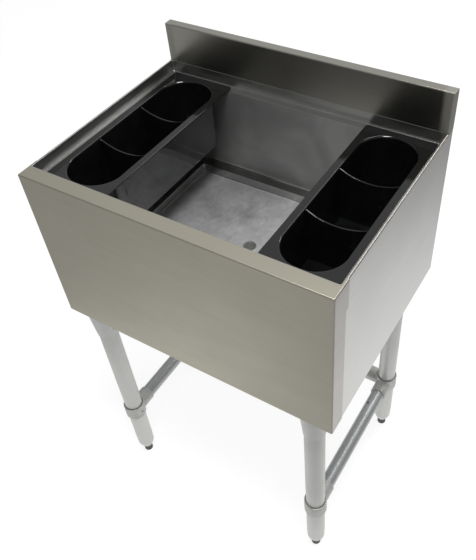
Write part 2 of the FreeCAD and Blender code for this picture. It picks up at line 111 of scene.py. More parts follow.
def size(name, description, millimetres):
    """A length property whose default is given in millimetres."""
    return bpy.props.FloatProperty(name=name, description=description, default=millimetres * MM, min=0.0,
                                   unit="LENGTH", precision=5)


def colour(name, description, red, green, blue):
    """A colour property in linear light."""
    return bpy.props.FloatVectorProperty(name=name, description=description, default=(red, green, blue, 1.0),
                                         size=4, min=0.0, max=1.0, subtype="COLOR")


def number(name, description, default):
    """A plain number property that can't be negative."""
    return bpy.props.FloatProperty(name=name, description=description, default=default, min=0.0)


def angle(name, description, degrees):
    """An angle property whose default is given in degrees."""
    return bpy.props.FloatProperty(name=name, description=description, default=math.radians(degrees),
                                   unit="ROTATION")


class IceBinSizes(bpy.types.PropertyGroup):
    """Sizes of the sheet work, the mouldings and the tubes that the frame's boxes don't give."""
    sheet: size("Sheet", "Thickness of the stainless sheet", 1.2)
    bend: size("Bend", "Outer radius of the folds", 2.5)
    edge: size("Edge", "Rounding of cut sheet edges", 0.3)
    apron_return: size("Apron return", "Width of the apron's return below its corner step", 38.0)
    apron_drop: size("Apron step", "Height of the apron's wider corner below the rim", 62.0)
    step_radius: size("Step radius", "Rounding of the apron's corner step", 4.0)
    rear_flange_rise: size("Rear flange rise", "Height of the rear flange's foot over the cabinet's", 35.0)
    splash_corner: size("Splash corner", "Radius of the backsplash's upright corners", 3.0)
    splash_hem: size("Splash hem", "Height of the hem down the backsplash's rear", 25.0)
    splash_weld: size("Splash weld", "Width of the dull weld at each end of the backsplash", 18.0)
    weld_fade: size("Weld fade", "Half of the width over which a weld's dullness fades", 4.0)
    ledge_drop: size("Ledge drop", "Depth of the ledge below the rim", 25.0)
    ledge_end: size("Ledge end", "Width of the ledge at the front and the rear", 17.0)
    ledge_side: size("Ledge side", "Width of the ledge at both sides", 13.1)
    ledge_cove: size("Ledge cove", "Inner radius where the upstand meets the ledge", 0.6)
    ledge_nose: size("Ledge nose", "Rounding of the ledge's inner edge", 1.5)
    recess_corner: size("Recess corner", "Corner radius of the upstand", 3.0)
    bin_corner: size("Bin corner", "Upright corner radius of the bin", 20.0)
    liner_lip: size("Liner lip", "Rounding of the liner's top inner edge", 0.9)
    floor_cove: size("Floor cove", "Radius where the bin's walls meet its floor", 6.0)
    panel_side: size("Panel side margin", "Floor left flat at both sides of the sunk panel", 64.0)
    panel_end: size("Panel end margin", "Floor left flat in front of and behind the sunk panel", 24.0)
    panel_step: size("Panel step", "Depth of the sunk panel", 18.5)
    panel_draft: size("Panel draft", "How much the sunk panel's sides lean in", 1.5)
    panel_corner: size("Panel corner", "Corner radius of the sunk panel's floor", 4.0)
    panel_soft: size("Panel softness", "Rounding of the sunk panel's edges", 1.6)
    holder_flange: size("Holder flange", "Thickness of a bottle holder's flange", 3.0)
    holder_corner: size("Holder corner", "Corner radius of a holder's flange", 5.0)
    holder_wall: size("Holder wall", "Wall thickness of a bottle holder", 2.5)
    holder_lip: size("Holder lip", "Rounding of the well's lip", 4.5)
    holder_base: size("Holder base", "Outer rounding of the holder's base", 4.0)
    well_width: size("Well width", "Width of a holder's well at its mouth", 110.0)
    well_length: size("Well length", "Length of a holder's well at its mouth", 365.0)
    well_flat: size("Well flat", "Half of the flat left at the middle of each round end", 0.5)
    well_draft: size("Well draft", "How much each wall leans in over the holder's depth", 3.0)
    divider: size("Divider", "Thickness of the dividers between the wells", 3.0)
    divider_end: size("Divider end", "Depth of a divider's ends below the flange", 3.0)
    divider_middle: size("Divider middle", "Depth of a divider's scooped middle below the flange", 17.0)
    well_drain: size("Well drain", "Radius of the drain in each well", 4.0)
    tube_wall: size("Tube wall", "Wall thickness of legs and rails", 1.5)
    vent: size("Rail vent", "Radius of the vent hole in a side rail", 2.5)
    vent_setback: size("Vent setback", "Distance of the vent from the rear leg's axis", 93.5)
    vent_tilt: angle("Vent tilt", "Turn of the vent from the rail's top to its inner side", 24.0)
    collar: size("Collar", "Outer radius of a brace collar", 24.5)
    collar_edge: size("Collar edge", "Rounding of a collar's lower edge", 5.0)
    collar_mouth: size("Collar mouth", "Widening of a collar's bore at its top", 2.0)
    collar_mouth_depth: size("Mouth depth", "Depth of the widened bore", 5.0)
    collar_arm: size("Collar arm", "Outer radius of a collar's arms", 18.5)
    collar_reach: size("Arm reach", "Length of an arm from the leg's axis", 51.5)
    cast_grain: size("Cast grain", "Cell size of the remesh that runs the collars' forms together", 0.9)
    slip: size("Slip", "Gap between a tube and its socket", 0.3)
    screw_hole: size("Screw hole", "Radius of a set screw's hole", 3.1)
    gusset_top: size("Gusset top", "Radius of a gusset's cone under its plate", 29.0)
    gusset_bottom: size("Gusset bottom", "Radius of a gusset's cone at its mouth", 22.2)
    gusset_plate: size("Gusset plate", "Thickness of a gusset's plate", 3.0)
    gusset_corner: size("Gusset corner", "Corner radius of a gusset's plate", 5.0)
    weld_bead: size("Weld bead", "Size of the bead between a gusset's cone and plate", 2.2)
    foot_tip: size("Foot tip", "Radius of a foot's tip", 10.5)
    foot_tip_height: size("Foot tip height", "Height of a foot's dark tip", 19.0)
    foot_cone: size("Foot cone", "Radius at the lower end of a foot's cone", 11.0)
    foot_cone_height: size("Foot cone height", "Height of a foot's cone", 23.0)
    foot_bulge: size("Foot bulge", "How far the cone swells past a straight line", 0.8)
    foot_barrel_height: size("Foot barrel height", "Height of a foot's barrel", 22.0)
    stem: size("Stem", "Radius of a foot's threaded stem", 6.0)
    thread_pitch: size("Thread pitch", "Pitch of the stem's thread", 2.0)
    thread_depth: size("Thread depth", "Depth of the stem's thread", 0.6)
    drain_bore: size("Drain bore", "Inner radius of the drain", 10.45)
    drain_pipe: size("Drain pipe", "Outer radius of the drain in the floor", 13.35)
    drain_stub: size("Drain stub", "Outer radius of the drain's stub below the cabinet", 13.0)
    drain_stub_length: size("Drain stub length", "Length of the stub below the cabinet", 30.0)
    drain_flange: size("Drain flange", "Thickness of the drain's flange under the floor", 2.0)


class IceBinColours(bpy.types.PropertyGroup):
    """Colours of the finishes, in linear light."""
    # Painted reflection and shade: the side panels, apron, returns and rims, backsplash and bin walls are one
    # stainless, each given its own lighter or darker base colour.
    steel: colour("Steel", "Brushed stainless of the side panels", 0.53, 0.528, 0.511)
    steel_dark: colour("Steel lines", "Darker brush lines in the side panels", 0.505, 0.503, 0.487)
    apron: colour("Apron steel", "Warmer stainless of the apron", 0.456, 0.436, 0.363)
    apron_dark: colour("Apron lines", "Darker brush lines in the apron", 0.432, 0.412, 0.342)
    fold: colour("Return steel", "Stainless of the apron's returns and the side rims", 0.385, 0.368, 0.341)
    fold_dark: colour("Return lines", "Darker brush lines in the returns", 0.365, 0.348, 0.321)
    splash: colour("Splash steel", "Stainless of the backsplash", 0.37, 0.362, 0.325)
    splash_dark: colour("Splash lines", "Darker brush lines in the backsplash", 0.345, 0.337, 0.302)
    liner: colour("Liner", "Stainless of the liner", 0.46, 0.46, 0.45)
    liner_dark: colour("Liner marks", "Cloudy marks in the liner", 0.43, 0.43, 0.42)
    # The bin walls' darker colours are painted shade.
    wall: colour("Bin walls", "Dull stainless of the bin's walls", 0.32, 0.32, 0.315)
    wall_dark: colour("Wall marks", "Cloudy marks on the bin's walls", 0.23, 0.23, 0.227)
    # The sunk panel's colours carry painted light as well as wear: its gradient makes it lighter towards the
    # right and front.
    worn: colour("Worn panel", "Scoured stainless of the sunk panel", 0.76, 0.76, 0.755)
    worn_dark: colour("Panel marks", "Darker swirls in the sunk panel", 0.36, 0.36, 0.365)
    plastic: colour("Holder plastic", "Black moulded plastic", 0.004, 0.0043, 0.0042)
    plastic_dust: colour("Holder dust", "Scuffed places on the black plastic", 0.007, 0.0075, 0.0073)
    # Painted reflection: the holders' outer walls get a lighter colour that stands in for their reflections.
    painted_reflection: colour("Holder film", "Dull film of dried water on the holders' outer walls", 0.044, 0.045, 0.045)
    painted_reflection_dark: colour("Clean film", "Cleaner places in the film", 0.032, 0.033, 0.033)
    leg: colour("Leg", "Satin grey of legs, gussets and feet", 0.62, 0.625, 0.60)
    leg_dull: colour("Leg marks", "Duller places on the legs", 0.58, 0.585, 0.56)
    collar: colour("Collar", "Cast metal of the brace collars", 0.52, 0.525, 0.50)
    collar_dark: colour("Collar pits", "Darker grain of the cast metal", 0.42, 0.425, 0.40)
    zinc: colour("Zinc", "Light crystals of the zinc coat", 0.56, 0.575, 0.575)
    zinc_dark: colour("Zinc shade", "Dark crystals of the zinc coat", 0.42, 0.435, 0.44)
    tube: colour("Rail", "Drawn zinc-coated tube of the rails", 0.43, 0.44, 0.438)
    tube_dull: colour("Rail marks", "Duller places on the rails", 0.38, 0.39, 0.388)
    tip: colour("Foot tip", "Dark tip of a foot", 0.05, 0.05, 0.05)
    tip_grey: colour("Foot tip wear", "Worn grey on a foot's tip", 0.12, 0.12, 0.117)
    foam: colour("Foam", "Insulation foam", 0.74, 0.62, 0.33)
    foam_dark: colour("Foam cells", "Shaded cells of the foam", 0.58, 0.46, 0.22)
    floor: colour("Floor", "Pale studio floor", 0.25, 0.25, 0.25)


class IceBinStudio(bpy.types.PropertyGroup):
    """The camera's place and the strengths of the studio's lights."""
    eye: bpy.props.FloatVectorProperty(name="Eye", description="The camera's place", unit="LENGTH",
                                       default=(0.5758, -0.7786, 1.6046))
    tilt: angle("Tilt", "The camera's turn up from straight down", 44.739)
    roll: angle("Roll", "The camera's turn about the level axis", 2.963)
    heading: angle("Heading", "The camera's turn about the upright axis", 30.820)
    lens: number("Lens", "Focal length for a 36 mm wide sensor, in millimetres", 43.42)
    shift: bpy.props.FloatVectorProperty(name="Shift", description="Sideways and upright shift of the frame",
                                         size=2, default=(-0.0618, -0.0284))
    sky: number("Sky", "Brightness of the studio all round", 0.3)
    rear_glow: number("Rear glow", "Extra brightness high up behind the bin, to the left", 0.4)
    floor_glow: number("Floor glow", "Brightness of its own that the floor has inside the frame", 0.83)
    floor_dim: number("Dim floor", "The same for the floor in front of the frame and left of it", 0.31)
    floor_side: number("Side floor", "The same for the floor far to the right of the frame", 0.10)
    softbox: number("Softbox", "Power of the softbox over the bin, in watts", 44.0)
    strip: number("Strip light", "Power of the narrow light high up behind the bin, in watts", 18.0)


def sizes():
    """The size properties in use."""
    return bpy.context.scene.ice_bin_sizes


def colours():
    """The colour properties in use."""
    return bpy.context.scene.ice_bin_colours


# Modelling steps that the pieces share

def deselect():
    """Go to object mode with nothing selected."""
    if bpy.context.object is not None and bpy.context.object.mode != "OBJECT":
        bpy.ops.object.mode_set(mode="OBJECT")
    bpy.ops.object.select_all(action="DESELECT")


def choose(piece):
    """Make one object the only selected and the active one."""
    deselect()
    piece.select_set(True)
    bpy.context.view_layer.objects.active = piece


def edit(piece):
    """Open one object in edit mode."""
    choose(piece)
    bpy.ops.object.mode_set(mode="EDIT")


def applied():
    """The active new object, with its place and size put into its mesh."""
    bpy.ops.object.transform_apply(location=True, rotation=True, scale=True)
    return bpy.context.active_object


def add_box(low, high):
    """A cube between two corners."""
    deselect()
    low = Vector(low)
    high = Vector(high)
    bpy.ops.mesh.primitive_cube_add(size=1.0, location=(low + high) / 2, scale=high - low)
    return applied()


def add_rod(start, end, radius, sides, capped=True):
    """A cylinder between two points, open at its ends if it isn't capped."""
    deselect()
    start = Vector(start)
    along = Vector(end) - start
    turn = UP.rotation_difference(along).to_euler()
    bpy.ops.mesh.primitive_cylinder_add(vertices=sides, radius=radius, depth=along.length,
                                        end_fill_type="NGON" if capped else "NOTHING",
                                        location=start + along / 2, rotation=turn)
    return applied()


def add_spun(section, x, y):
    """A turned solid from its half section, a list of radius and height, closed or ending on the axis."""
    deselect()
    radius, height = section[0]
    bpy.ops.mesh.primitive_plane_add(size=MM, location=(x + radius, y, height))
    piece = applied()
    bpy.ops.object.mode_set(mode="EDIT")
    bpy.ops.mesh.select_mode(type="VERT")
    bpy.ops.mesh.merge(type="CENTER")
    for (r0, z0), (r1, z1) in zip(section, section[1:]):
        bpy.ops.mesh.extrude_vertices_move(TRANSFORM_OT_translate={"value": (r1 - r0, 0, z1 - z0)})
    bpy.ops.mesh.select_all(action="SELECT")
    bpy.ops.mesh.spin(steps=TUBE_SIDES, angle=2 * math.pi, center=(x, y, 0), axis=UP)
    bpy.ops.mesh.select_all(action="SELECT")
    bpy.ops.mesh.remove_doubles(threshold=SAME)
    bpy.ops.mesh.normals_make_consistent(inside=False)
    bpy.ops.object.mode_set(mode="OBJECT")
    return piece


def pick(kind, test):
    """In edit mode, select only the vertices, edges or faces that pass a test."""
    bpy.ops.mesh.select_mode(type=kind)
    bpy.ops.mesh.select_all(action="DESELECT")
    mesh = bpy.context.edit_object.data
    bm = bmesh.from_edit_mesh(mesh)
    bm.normal_update()
    elements = {"VERT": bm.verts, "EDGE": bm.edges, "FACE": bm.faces}[kind]
    chosen = [element for element in elements if test(element)]
    for element in chosen:
        element.select_set(True)
    bm.select_flush_mode()
    bmesh.update_edit_mesh(mesh)
    if not chosen:
        raise RuntimeError(f"nothing to pick on {bpy.context.edit_object.name}")


def both(edge, test):
    """Whether both ends of an edge pass a test of their place."""
    return all(test(vertex.co) for vertex in edge.verts)


def bevel(width, steps):
    """Round the selected edges."""
    bpy.ops.mesh.bevel(offset=width, segments=steps, affect="EDGES", clamp_overlap=True)


def ease(piece, width, steps=EDGE_STEPS, test=None):
    """Round the sharp edges of a piece, or those of them that pass a test."""
    edit(piece)
    pick("EDGE", lambda edge: len(edge.link_faces) == 2 and edge.calc_face_angle() > SHARP_ANGLE
         and (test is None or both(edge, test)))
    bevel(width, steps)
    bpy.ops.object.mode_set(mode="OBJECT")


def modify(piece, kind, **settings):
    """Add a modifier to a piece and apply it."""
    choose(piece)
    modifier = piece.modifiers.new(kind.title(), kind)
    for key, value in settings.items():
        setattr(modifier, key, value)
    bpy.ops.object.modifier_apply(modifier=modifier.name)


def thicken(piece, wall):
    """Give an open sheet its thickness, behind its faces."""
    modify(piece, "SOLIDIFY", thickness=wall, offset=-1.0, use_even_offset=True)


def combine(piece, other, operation="DIFFERENCE"):
    """Cut another solid out of a piece, or add it, and remove the other."""
    modify(piece, "BOOLEAN", object=other, operation=operation, solver="EXACT")
    bpy.data.objects.remove(other, do_unlink=True)


def add_ring(low, high, radius, height, steps):
    """In edit mode, add a level rectangle of edges with round corners, and give its vertices' numbers."""
    mesh = bpy.context.edit_object.data
    before = len(bmesh.from_edit_mesh(mesh).verts)
    bpy.ops.mesh.select_mode(type="VERT")
    bpy.ops.mesh.select_all(action="DESELECT")
    middle = ((low[0] + high[0]) / 2, (low[1] + high[1]) / 2, height)
    bpy.ops.mesh.primitive_plane_add(size=1.0, location=middle)
    bpy.ops.transform.resize(value=(high[0] - low[0], high[1] - low[1], 1.0), center_override=middle)
    bpy.ops.mesh.bevel(offset=radius, segments=steps, affect="VERTICES", clamp_overlap=True)
    bpy.ops.mesh.delete(type="ONLY_FACE")
    after = len(bmesh.from_edit_mesh(mesh).verts)
    return range(before, after)


def pick_rings(*rings):
    """In edit mode, select the edges of some rings."""
    wanted = {number for ring in rings for number in ring}
    pick("VERT", lambda vertex: vertex.index in wanted)


def add_rings(outlines, steps, ends):
    """A surface through level rings, each low, high, radius and height, with its two ends filled or not.

    The rings are joined while they are stacked apart, so that rings at one height join the right way."""
    deselect()
    bpy.ops.mesh.primitive_plane_add(size=1.0)
    piece = bpy.context.active_object
    bpy.ops.object.mode_set(mode="EDIT")
    bpy.ops.mesh.delete(type="VERT")
    rings = [add_ring(low, high, radius, -index * RING_STACK, steps)
             for index, (low, high, radius, height) in enumerate(outlines)]
    for first, second in zip(rings, rings[1:]):
        pick_rings(first, second)
        bpy.ops.mesh.bridge_edge_loops()
    for index, (ring, outline) in enumerate(zip(rings, outlines)):
        pick_rings(ring)
        bpy.ops.transform.translate(value=(0, 0, outline[3] + index * RING_STACK))
    for ring, filled in zip((rings[0], rings[-1]), ends):
        if filled:
            pick_rings(ring)
            bpy.ops.mesh.edge_face_add()
    bpy.ops.mesh.select_all(action="SELECT")
    bpy.ops.mesh.normals_make_consistent(inside=False)
    bpy.ops.object.mode_set(mode="OBJECT")
    return piece


def mirrored(piece, x=None, y=None):
    """A copy of a piece with its own mesh, mirrored in the planes at x and y, where they are given."""
    choose(piece)
    bpy.ops.object.duplicate(linked=False)
    copy = bpy.context.active_object
    bpy.ops.object.mode_set(mode="EDIT")
    bpy.ops.mesh.select_all(action="SELECT")
    for axis, plane in enumerate((x, y)):
        if plane is not None:
            scale = [1.0, 1.0, 1.0]
            scale[axis] = -1.0
            centre = [0.0, 0.0, 0.0]
            centre[axis] = plane
            bpy.ops.transform.resize(value=scale, center_override=centre)
            bpy.ops.mesh.flip_normals()
    bpy.ops.object.mode_set(mode="OBJECT")
    return copy


def moved(piece, offset):
    """A copy of a piece with its own mesh, moved."""
    choose(piece)
    bpy.ops.object.duplicate(linked=False)
    copy = bpy.context.active_object
    bpy.ops.object.mode_set(mode="EDIT")
    bpy.ops.mesh.select_all(action="SELECT")
    bpy.ops.transform.translate(value=offset)
    bpy.ops.object.mode_set(mode="OBJECT")
    return copy


def settle(piece, name, node, slot, body, material, *more_materials):
    """Name a finished piece, shade it, dress it, and let it stand for its node."""
    choose(piece)
    bpy.ops.object.shade_smooth_by_angle(angle=SMOOTH_ANGLE, keep_sharp_edges=True)
    modify(piece, "WEIGHTED_NORMAL", mode="FACE_AREA", weight=FACE_WEIGHT, keep_sharp=True)
    piece.name = name
    piece.data.name = name
    for finish in (material, *more_materials):
        piece.data.materials.append(finish)
    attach(piece, body)
    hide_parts(node)


def give_second_finish(piece, test):
    """Give the faces of a piece that pass a test its second finish."""
    for face in piece.data.polygons:
        if test(face):
            face.material_index = 1


def middle_of(node):
    """The middle of a node's box."""
    low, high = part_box(node)
    return (low + high) / 2


# Finishes

def add_node(tree, kind, inputs=None, **settings):
    """A shader node with settings, and inputs that are sockets to link or plain values."""
    node = tree.nodes.new(kind)
    for key, value in settings.items():
        setattr(node, key, value)
    for key, value in (inputs or {}).items():
        if isinstance(value, bpy.types.NodeSocket):
            tree.links.new(value, node.inputs[key])
        else:
            node.inputs[key].default_value = value
    return node


def new_finish(name, **constants):
    """A material with a Principled shader, given as its tree, its shader and the object's coordinates."""
    material = bpy.data.materials.new(name)
    material.use_nodes = True
    tree = material.node_tree
    shader = tree.nodes["Principled BSDF"]
    for key, value in constants.items():
        shader.inputs[key.replace("_", " ")].default_value = value
    place = add_node(tree, "ShaderNodeTexCoord").outputs["Object"]
    return material, tree, shader, place


def noise(tree, place, cells, detail=2.0, roughness=0.5, distortion=0.0):
    """Noise from 0 to 1 with a count of cells per metre, for all axes or for each."""
    scale = (cells, cells, cells) if isinstance(cells, float) else cells
    stretched = add_node(tree, "ShaderNodeMapping", {"Vector": place, "Scale": scale})
    return add_node(tree, "ShaderNodeTexNoise", {
        "Vector": stretched.outputs["Vector"], "Scale": 1.0, "Detail": detail, "Roughness": roughness,
        "Distortion": distortion}).outputs["Fac"]


def blend(tree, parts):
    """The sum of some patterns, each with its share."""
    total = None
    for pattern, share in parts:
        part = math_node(tree, "MULTIPLY", pattern, share)
        total = part if total is None else math_node(tree, "ADD", total, part)
    return total


def ramp(tree, pattern, *stops):
    """Two colours along a pattern, each stop a place and a colour."""
    node = add_node(tree, "ShaderNodeValToRGB", {"Fac": pattern})
    for element, (place, shade) in zip(node.color_ramp.elements, stops):
        element.position = place
        element.color = shade
    return node.outputs["Color"]


def spread(tree, pattern, low, high, to_low, to_high, soft=False):
    """A pattern's range from low to high mapped to another range, with soft ends or plainly."""
    return add_node(tree, "ShaderNodeMapRange", {
        "Value": pattern, "From Min": low, "From Max": high, "To Min": to_low, "To Max": to_high,
    }, interpolation_type="SMOOTHSTEP" if soft else "LINEAR").outputs["Result"]


def math_node(tree, operation, *values):
    """The result of a sum or the like on patterns and numbers."""
    return add_node(tree, "ShaderNodeMath", dict(enumerate(values)), operation=operation).outputs[0]


def along(tree, vector, direction):
    """How far a vector reaches along a direction."""
    dot = add_node(tree, "ShaderNodeVectorMath", {0: vector, 1: direction}, operation="DOT_PRODUCT")
    return dot.outputs["Value"]


def coloured(tree, shader, pattern, dark, light):
    """Colour a shader by a pattern: dark and light are each a place along it and a colour."""
    tree.links.new(ramp(tree, pattern, dark, light), shader.inputs["Base Color"])


def roughened(tree, shader, pattern, within, rough):
    """Give a shader the roughness that a pattern has from one end of its range to the other."""
    tree.links.new(spread(tree, pattern, *within, *rough), shader.inputs["Roughness"])


def bumped(tree, shader, pattern, strength, distance):
    """Give a shader the relief of a pattern."""
    relief = add_node(tree, "ShaderNodeBump", {"Height": pattern, "Strength": strength, "Distance": distance})
    tree.links.new(relief.outputs["Normal"], shader.inputs["Normal"])


GRAIN_LONG = 5.0
GRAIN_FINE = 650.0
GRAIN_BAND = 60.0
GRAIN_TUBE = 500.0
TONES = (0.36, 0.64)
MID_TONES = (0.3, 0.7)
WELD_DULLNESS = 0.28
# Painted light: the direction and range over which the sunk panel grows lighter.
PAINTED_LIGHT_TOWARD = (1.0, -0.4, 0.0)
PAINTED_LIGHT_FROM = -0.20
PAINTED_LIGHT_TO = 0.16


def grain_scale(axis, across):
    """Noise cells per metre for lines that run along one axis."""
    scale = [across, across, across]
    scale[axis] = GRAIN_LONG
    return scale


def brushed_steel(name, axis, light, dark, rough, weld=None):
    """Stainless sheet with faint brush lines along one axis, soft bands and handling marks.

    Past a distance from the middle, a weld leaves the sheet duller."""
    material, tree, shader, place = new_finish(name, Metallic=1.0)
    lines = noise(tree, place, grain_scale(axis, GRAIN_FINE), detail=3.0)
    bands = noise(tree, place, grain_scale(axis, GRAIN_BAND), detail=2.0)
    marks = noise(tree, place, 7.0, detail=4.0, roughness=0.6)
    tone = blend(tree, ((lines, 0.4), (bands, 0.2), (marks, 0.4)))
    coloured(tree, shader, tone, (0.36, dark), (0.64, light))
    dullness = spread(tree, tone, *TONES, *reversed(rough))
    if weld is not None:
        side = add_node(tree, "ShaderNodeSeparateXYZ", {"Vector": place}).outputs["X"]
        reach = math_node(tree, "ABSOLUTE", side)
        fade = sizes().weld_fade
        duller = spread(tree, reach, weld - fade, weld + fade, 0.0, WELD_DULLNESS)
        dullness = math_node(tree, "ADD", dullness, duller)
    tree.links.new(dullness, shader.inputs["Roughness"])
    bumped(tree, shader, lines, strength=0.02, distance=0.1 * MM)
    return material


def liner_steel(name, light, dark, metal, rough):
    """Smooth stainless of the liner, with faint brush lines and cloudy marks."""
    material, tree, shader, place = new_finish(name, Metallic=metal)
    lines = noise(tree, place, grain_scale(ALONG_X, GRAIN_FINE), detail=1.0)
    marks = noise(tree, place, 9.0, detail=2.0, roughness=0.5, distortion=0.6)
    tone = blend(tree, ((lines, 0.1), (marks, 0.9)))
    coloured(tree, shader, tone, (0.36, dark), (0.62, light))
    roughened(tree, shader, tone, TONES, rough)
    return material


def worn_steel_painted_light(name):
    """Scoured stainless of the sunk panel: dull, swirled and mottled, with painted light that makes it
    lighter towards the right and front.
    """
    material, tree, shader, place = new_finish(name, Metallic=0.6)
    marks = noise(tree, place, (9.0, 7.0, 9.0), detail=4.0, roughness=0.55, distortion=0.8)
    swirls = noise(tree, place, (60.0, 36.0, 40.0), detail=4.0, roughness=0.6, distortion=1.6)
    # Painted light: the panel is made lighter towards the right and front.
    scooped = spread(tree, along(tree, place, PAINTED_LIGHT_TOWARD), PAINTED_LIGHT_FROM, PAINTED_LIGHT_TO, 0.18, 0.80)
    tone = blend(tree, ((marks, 0.42), (swirls, 0.20), (scooped, 0.38)))
    coloured(tree, shader, tone, (0.36, colours().worn_dark), (0.62, colours().worn))
    roughened(tree, shader, tone, TONES, rough=(0.44, 0.56))
    bumped(tree, shader, tone, strength=0.03, distance=0.2 * MM)
    return material


def black_plastic(name, light, dark, shine=0.5):
    """Glossy black moulding with a faint skin texture and dull scuffs."""
    material, tree, shader, place = new_finish(name, Specular_IOR_Level=shine)
    scuffs = noise(tree, place, 30.0, detail=5.0, roughness=0.6)
    skin = noise(tree, place, 900.0, detail=2.0)
    coloured(tree, shader, scuffs, (0.35, dark), (0.72, light))
    roughened(tree, shader, scuffs, MID_TONES, rough=(0.06, 0.12))
    bumped(tree, shader, skin, strength=0.015, distance=0.1 * MM)
    return material


def satin_grey(name):
    """Satin grey coat of legs and feet, with dull places and fine upright drawing lines."""
    material, tree, shader, place = new_finish(name, Metallic=0.35)
    lines = noise(tree, place, grain_scale(ALONG_Z, GRAIN_TUBE), detail=2.0)
    dull = noise(tree, place, (16.0, 16.0, 10.0), detail=4.0, roughness=0.6)
    tone = blend(tree, ((lines, 0.4), (dull, 0.6)))
    coloured(tree, shader, tone, (0.36, colours().leg_dull), (0.62, colours().leg))
    roughened(tree, shader, tone, MID_TONES, rough=(0.50, 0.38))
    bumped(tree, shader, lines, strength=0.05, distance=0.1 * MM)
    return material


def cast_metal(name):
    """Cast metal with a sandy grain and darker pits."""
    material, tree, shader, place = new_finish(name, Metallic=0.45)
    sand = noise(tree, place, 420.0, detail=4.0, roughness=0.6)
    cloud = noise(tree, place, 45.0, detail=3.0)
    tone = blend(tree, ((sand, 0.5), (cloud, 0.5)))
    coloured(tree, shader, tone, (0.38, colours().collar_dark), (0.56, colours().collar))
    roughened(tree, shader, tone, MID_TONES, rough=(0.58, 0.42))
    bumped(tree, shader, sand, strength=0.25, distance=0.25 * MM)
    return material


def zinc_coat(name, crystals, rough):
    """Zinc-coated metal with flat crystals of slightly different shades."""
    material, tree, shader, place = new_finish(name, Metallic=1.0)
    cells = add_node(tree, "ShaderNodeTexVoronoi", {"Vector": place, "Scale": crystals, "Randomness": 1.0})
    shade = add_node(tree, "ShaderNodeSeparateColor", {"Color": cells.outputs["Color"]}).outputs["Red"]
    cloud = noise(tree, place, 20.0, detail=4.0)
    tone = blend(tree, ((shade, 0.45), (cloud, 0.55)))
    coloured(tree, shader, tone, (0.25, colours().zinc_dark), (0.70, colours().zinc))
    roughened(tree, shader, tone, (0.2, 0.8), rough)
    bumped(tree, shader, tone, strength=0.05, distance=0.1 * MM)
    return material


def drawn_tube(name):
    """Smooth zinc-coated tube with soft dull places."""
    material, tree, shader, place = new_finish(name, Metallic=0.9)
    dull = noise(tree, place, 24.0, detail=4.0, roughness=0.6)
    fine = noise(tree, place, 260.0, detail=2.0)
    tone = blend(tree, ((dull, 0.75), (fine, 0.25)))
    coloured(tree, shader, tone, (0.36, colours().tube_dull), (0.62, colours().tube))
    roughened(tree, shader, tone, MID_TONES, rough=(0.44, 0.38))
    return material


def dark_foot_tip(name):
    """Dark tip of a foot, scuffed grey."""
    material, tree, shader, place = new_finish(name)
    wear = noise(tree, place, 180.0, detail=4.0)
    coloured(tree, shader, wear, (0.4, colours().tip), (0.7, colours().tip_grey))
    roughened(tree, shader, wear, MID_TONES, rough=(0.55, 0.75))
    bumped(tree, shader, wear, strength=0.2, distance=0.2 * MM)
    return material


def foam_cells(name):
    """Poured insulation foam with fine open cells."""
    material, tree, shader, place = new_finish(name)
    cells = add_node(tree, "ShaderNodeTexVoronoi", {"Vector": place, "Scale": 420.0}).outputs["Distance"]
    cloud = noise(tree, place, 14.0, detail=3.0)
    tone = blend(tree, ((cells, 0.6), (cloud, 0.4)))
    coloured(tree, shader, tone, (0.2, colours().foam_dark), (0.6, colours().foam))
    roughened(tree, shader, tone, (0.2, 0.7), rough=(0.95, 0.80))
    bumped(tree, shader, cells, strength=0.4, distance=0.6 * MM)
    return material


# Sheet work

def recess_cutter():
    """A solid as large as the liner's upstand outside, through the rim."""
    s = sizes()
    low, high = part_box("bin_liner")
    bottom = high.z - s.ledge_drop
    outlines = [(low, high, s.recess_corner + s.sheet, height) for height in (bottom, high.z + OVERSHOOT)]
    return add_rings(outlines, CORNER_STEPS, ends=(True, True))


class ICEBIN_OT_front_apron(bpy.types.Operator):
    """Fold the front face, the front rim and the returns round both sides from one sheet"""
    bl_idname = "icebin.front_apron"
    bl_label = "Front apron"

    def execute(self, context):
        s = sizes()
        low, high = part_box("front_apron")
        apron = add_box(low, high)
        edit(apron)
        pick("FACE", lambda face: face.normal.y > FACING or face.normal.z < -FACING)
        bpy.ops.mesh.delete(type="FACE")
        pick("EDGE", lambda edge: not edge.is_boundary)
        bevel(s.bend, BEND_STEPS)
        thicken(apron, s.sheet)
        combine(apron, recess_cutter())
        narrow = low.y + s.apron_return
        step = high.z - s.apron_drop
        cutter = add_box((low.x - OVERSHOOT, narrow, low.z - OVERSHOOT),
                         (high.x + OVERSHOOT, high.y + OVERSHOOT, step))
        edit(cutter)
        pick("EDGE", lambda edge: both(edge, lambda p: abs(p.y - narrow) < SAME and abs(p.z - step) < SAME))
        bevel(s.step_radius, BEND_STEPS)
        combine(apron, cutter)
        edit(apron)
        pick("EDGE", lambda edge: both(edge, lambda p: abs(p.y - high.y) < SAME and abs(p.z - step) < SAME))
        bevel(s.step_radius - s.edge, BEND_STEPS)
        ease(apron, s.edge, test=lambda p: p.z < high.z - SAME)
        # The apron and its returns get their own lighter and darker copies of one stainless: painted
        # reflection and shade.
        c = colours()
        settle(apron, "apron_sheet", "front_apron", "stainless", "cabinet",
               brushed_steel("apron_steel", ALONG_X, c.apron, c.apron_dark, rough=(0.38, 0.46)),
               brushed_steel("return_steel", ALONG_Y, c.fold, c.fold_dark, rough=(0.30, 0.36)))
        give_second_finish(apron, lambda face: abs(face.normal.x) > FACING)
        return {"FINISHED"}


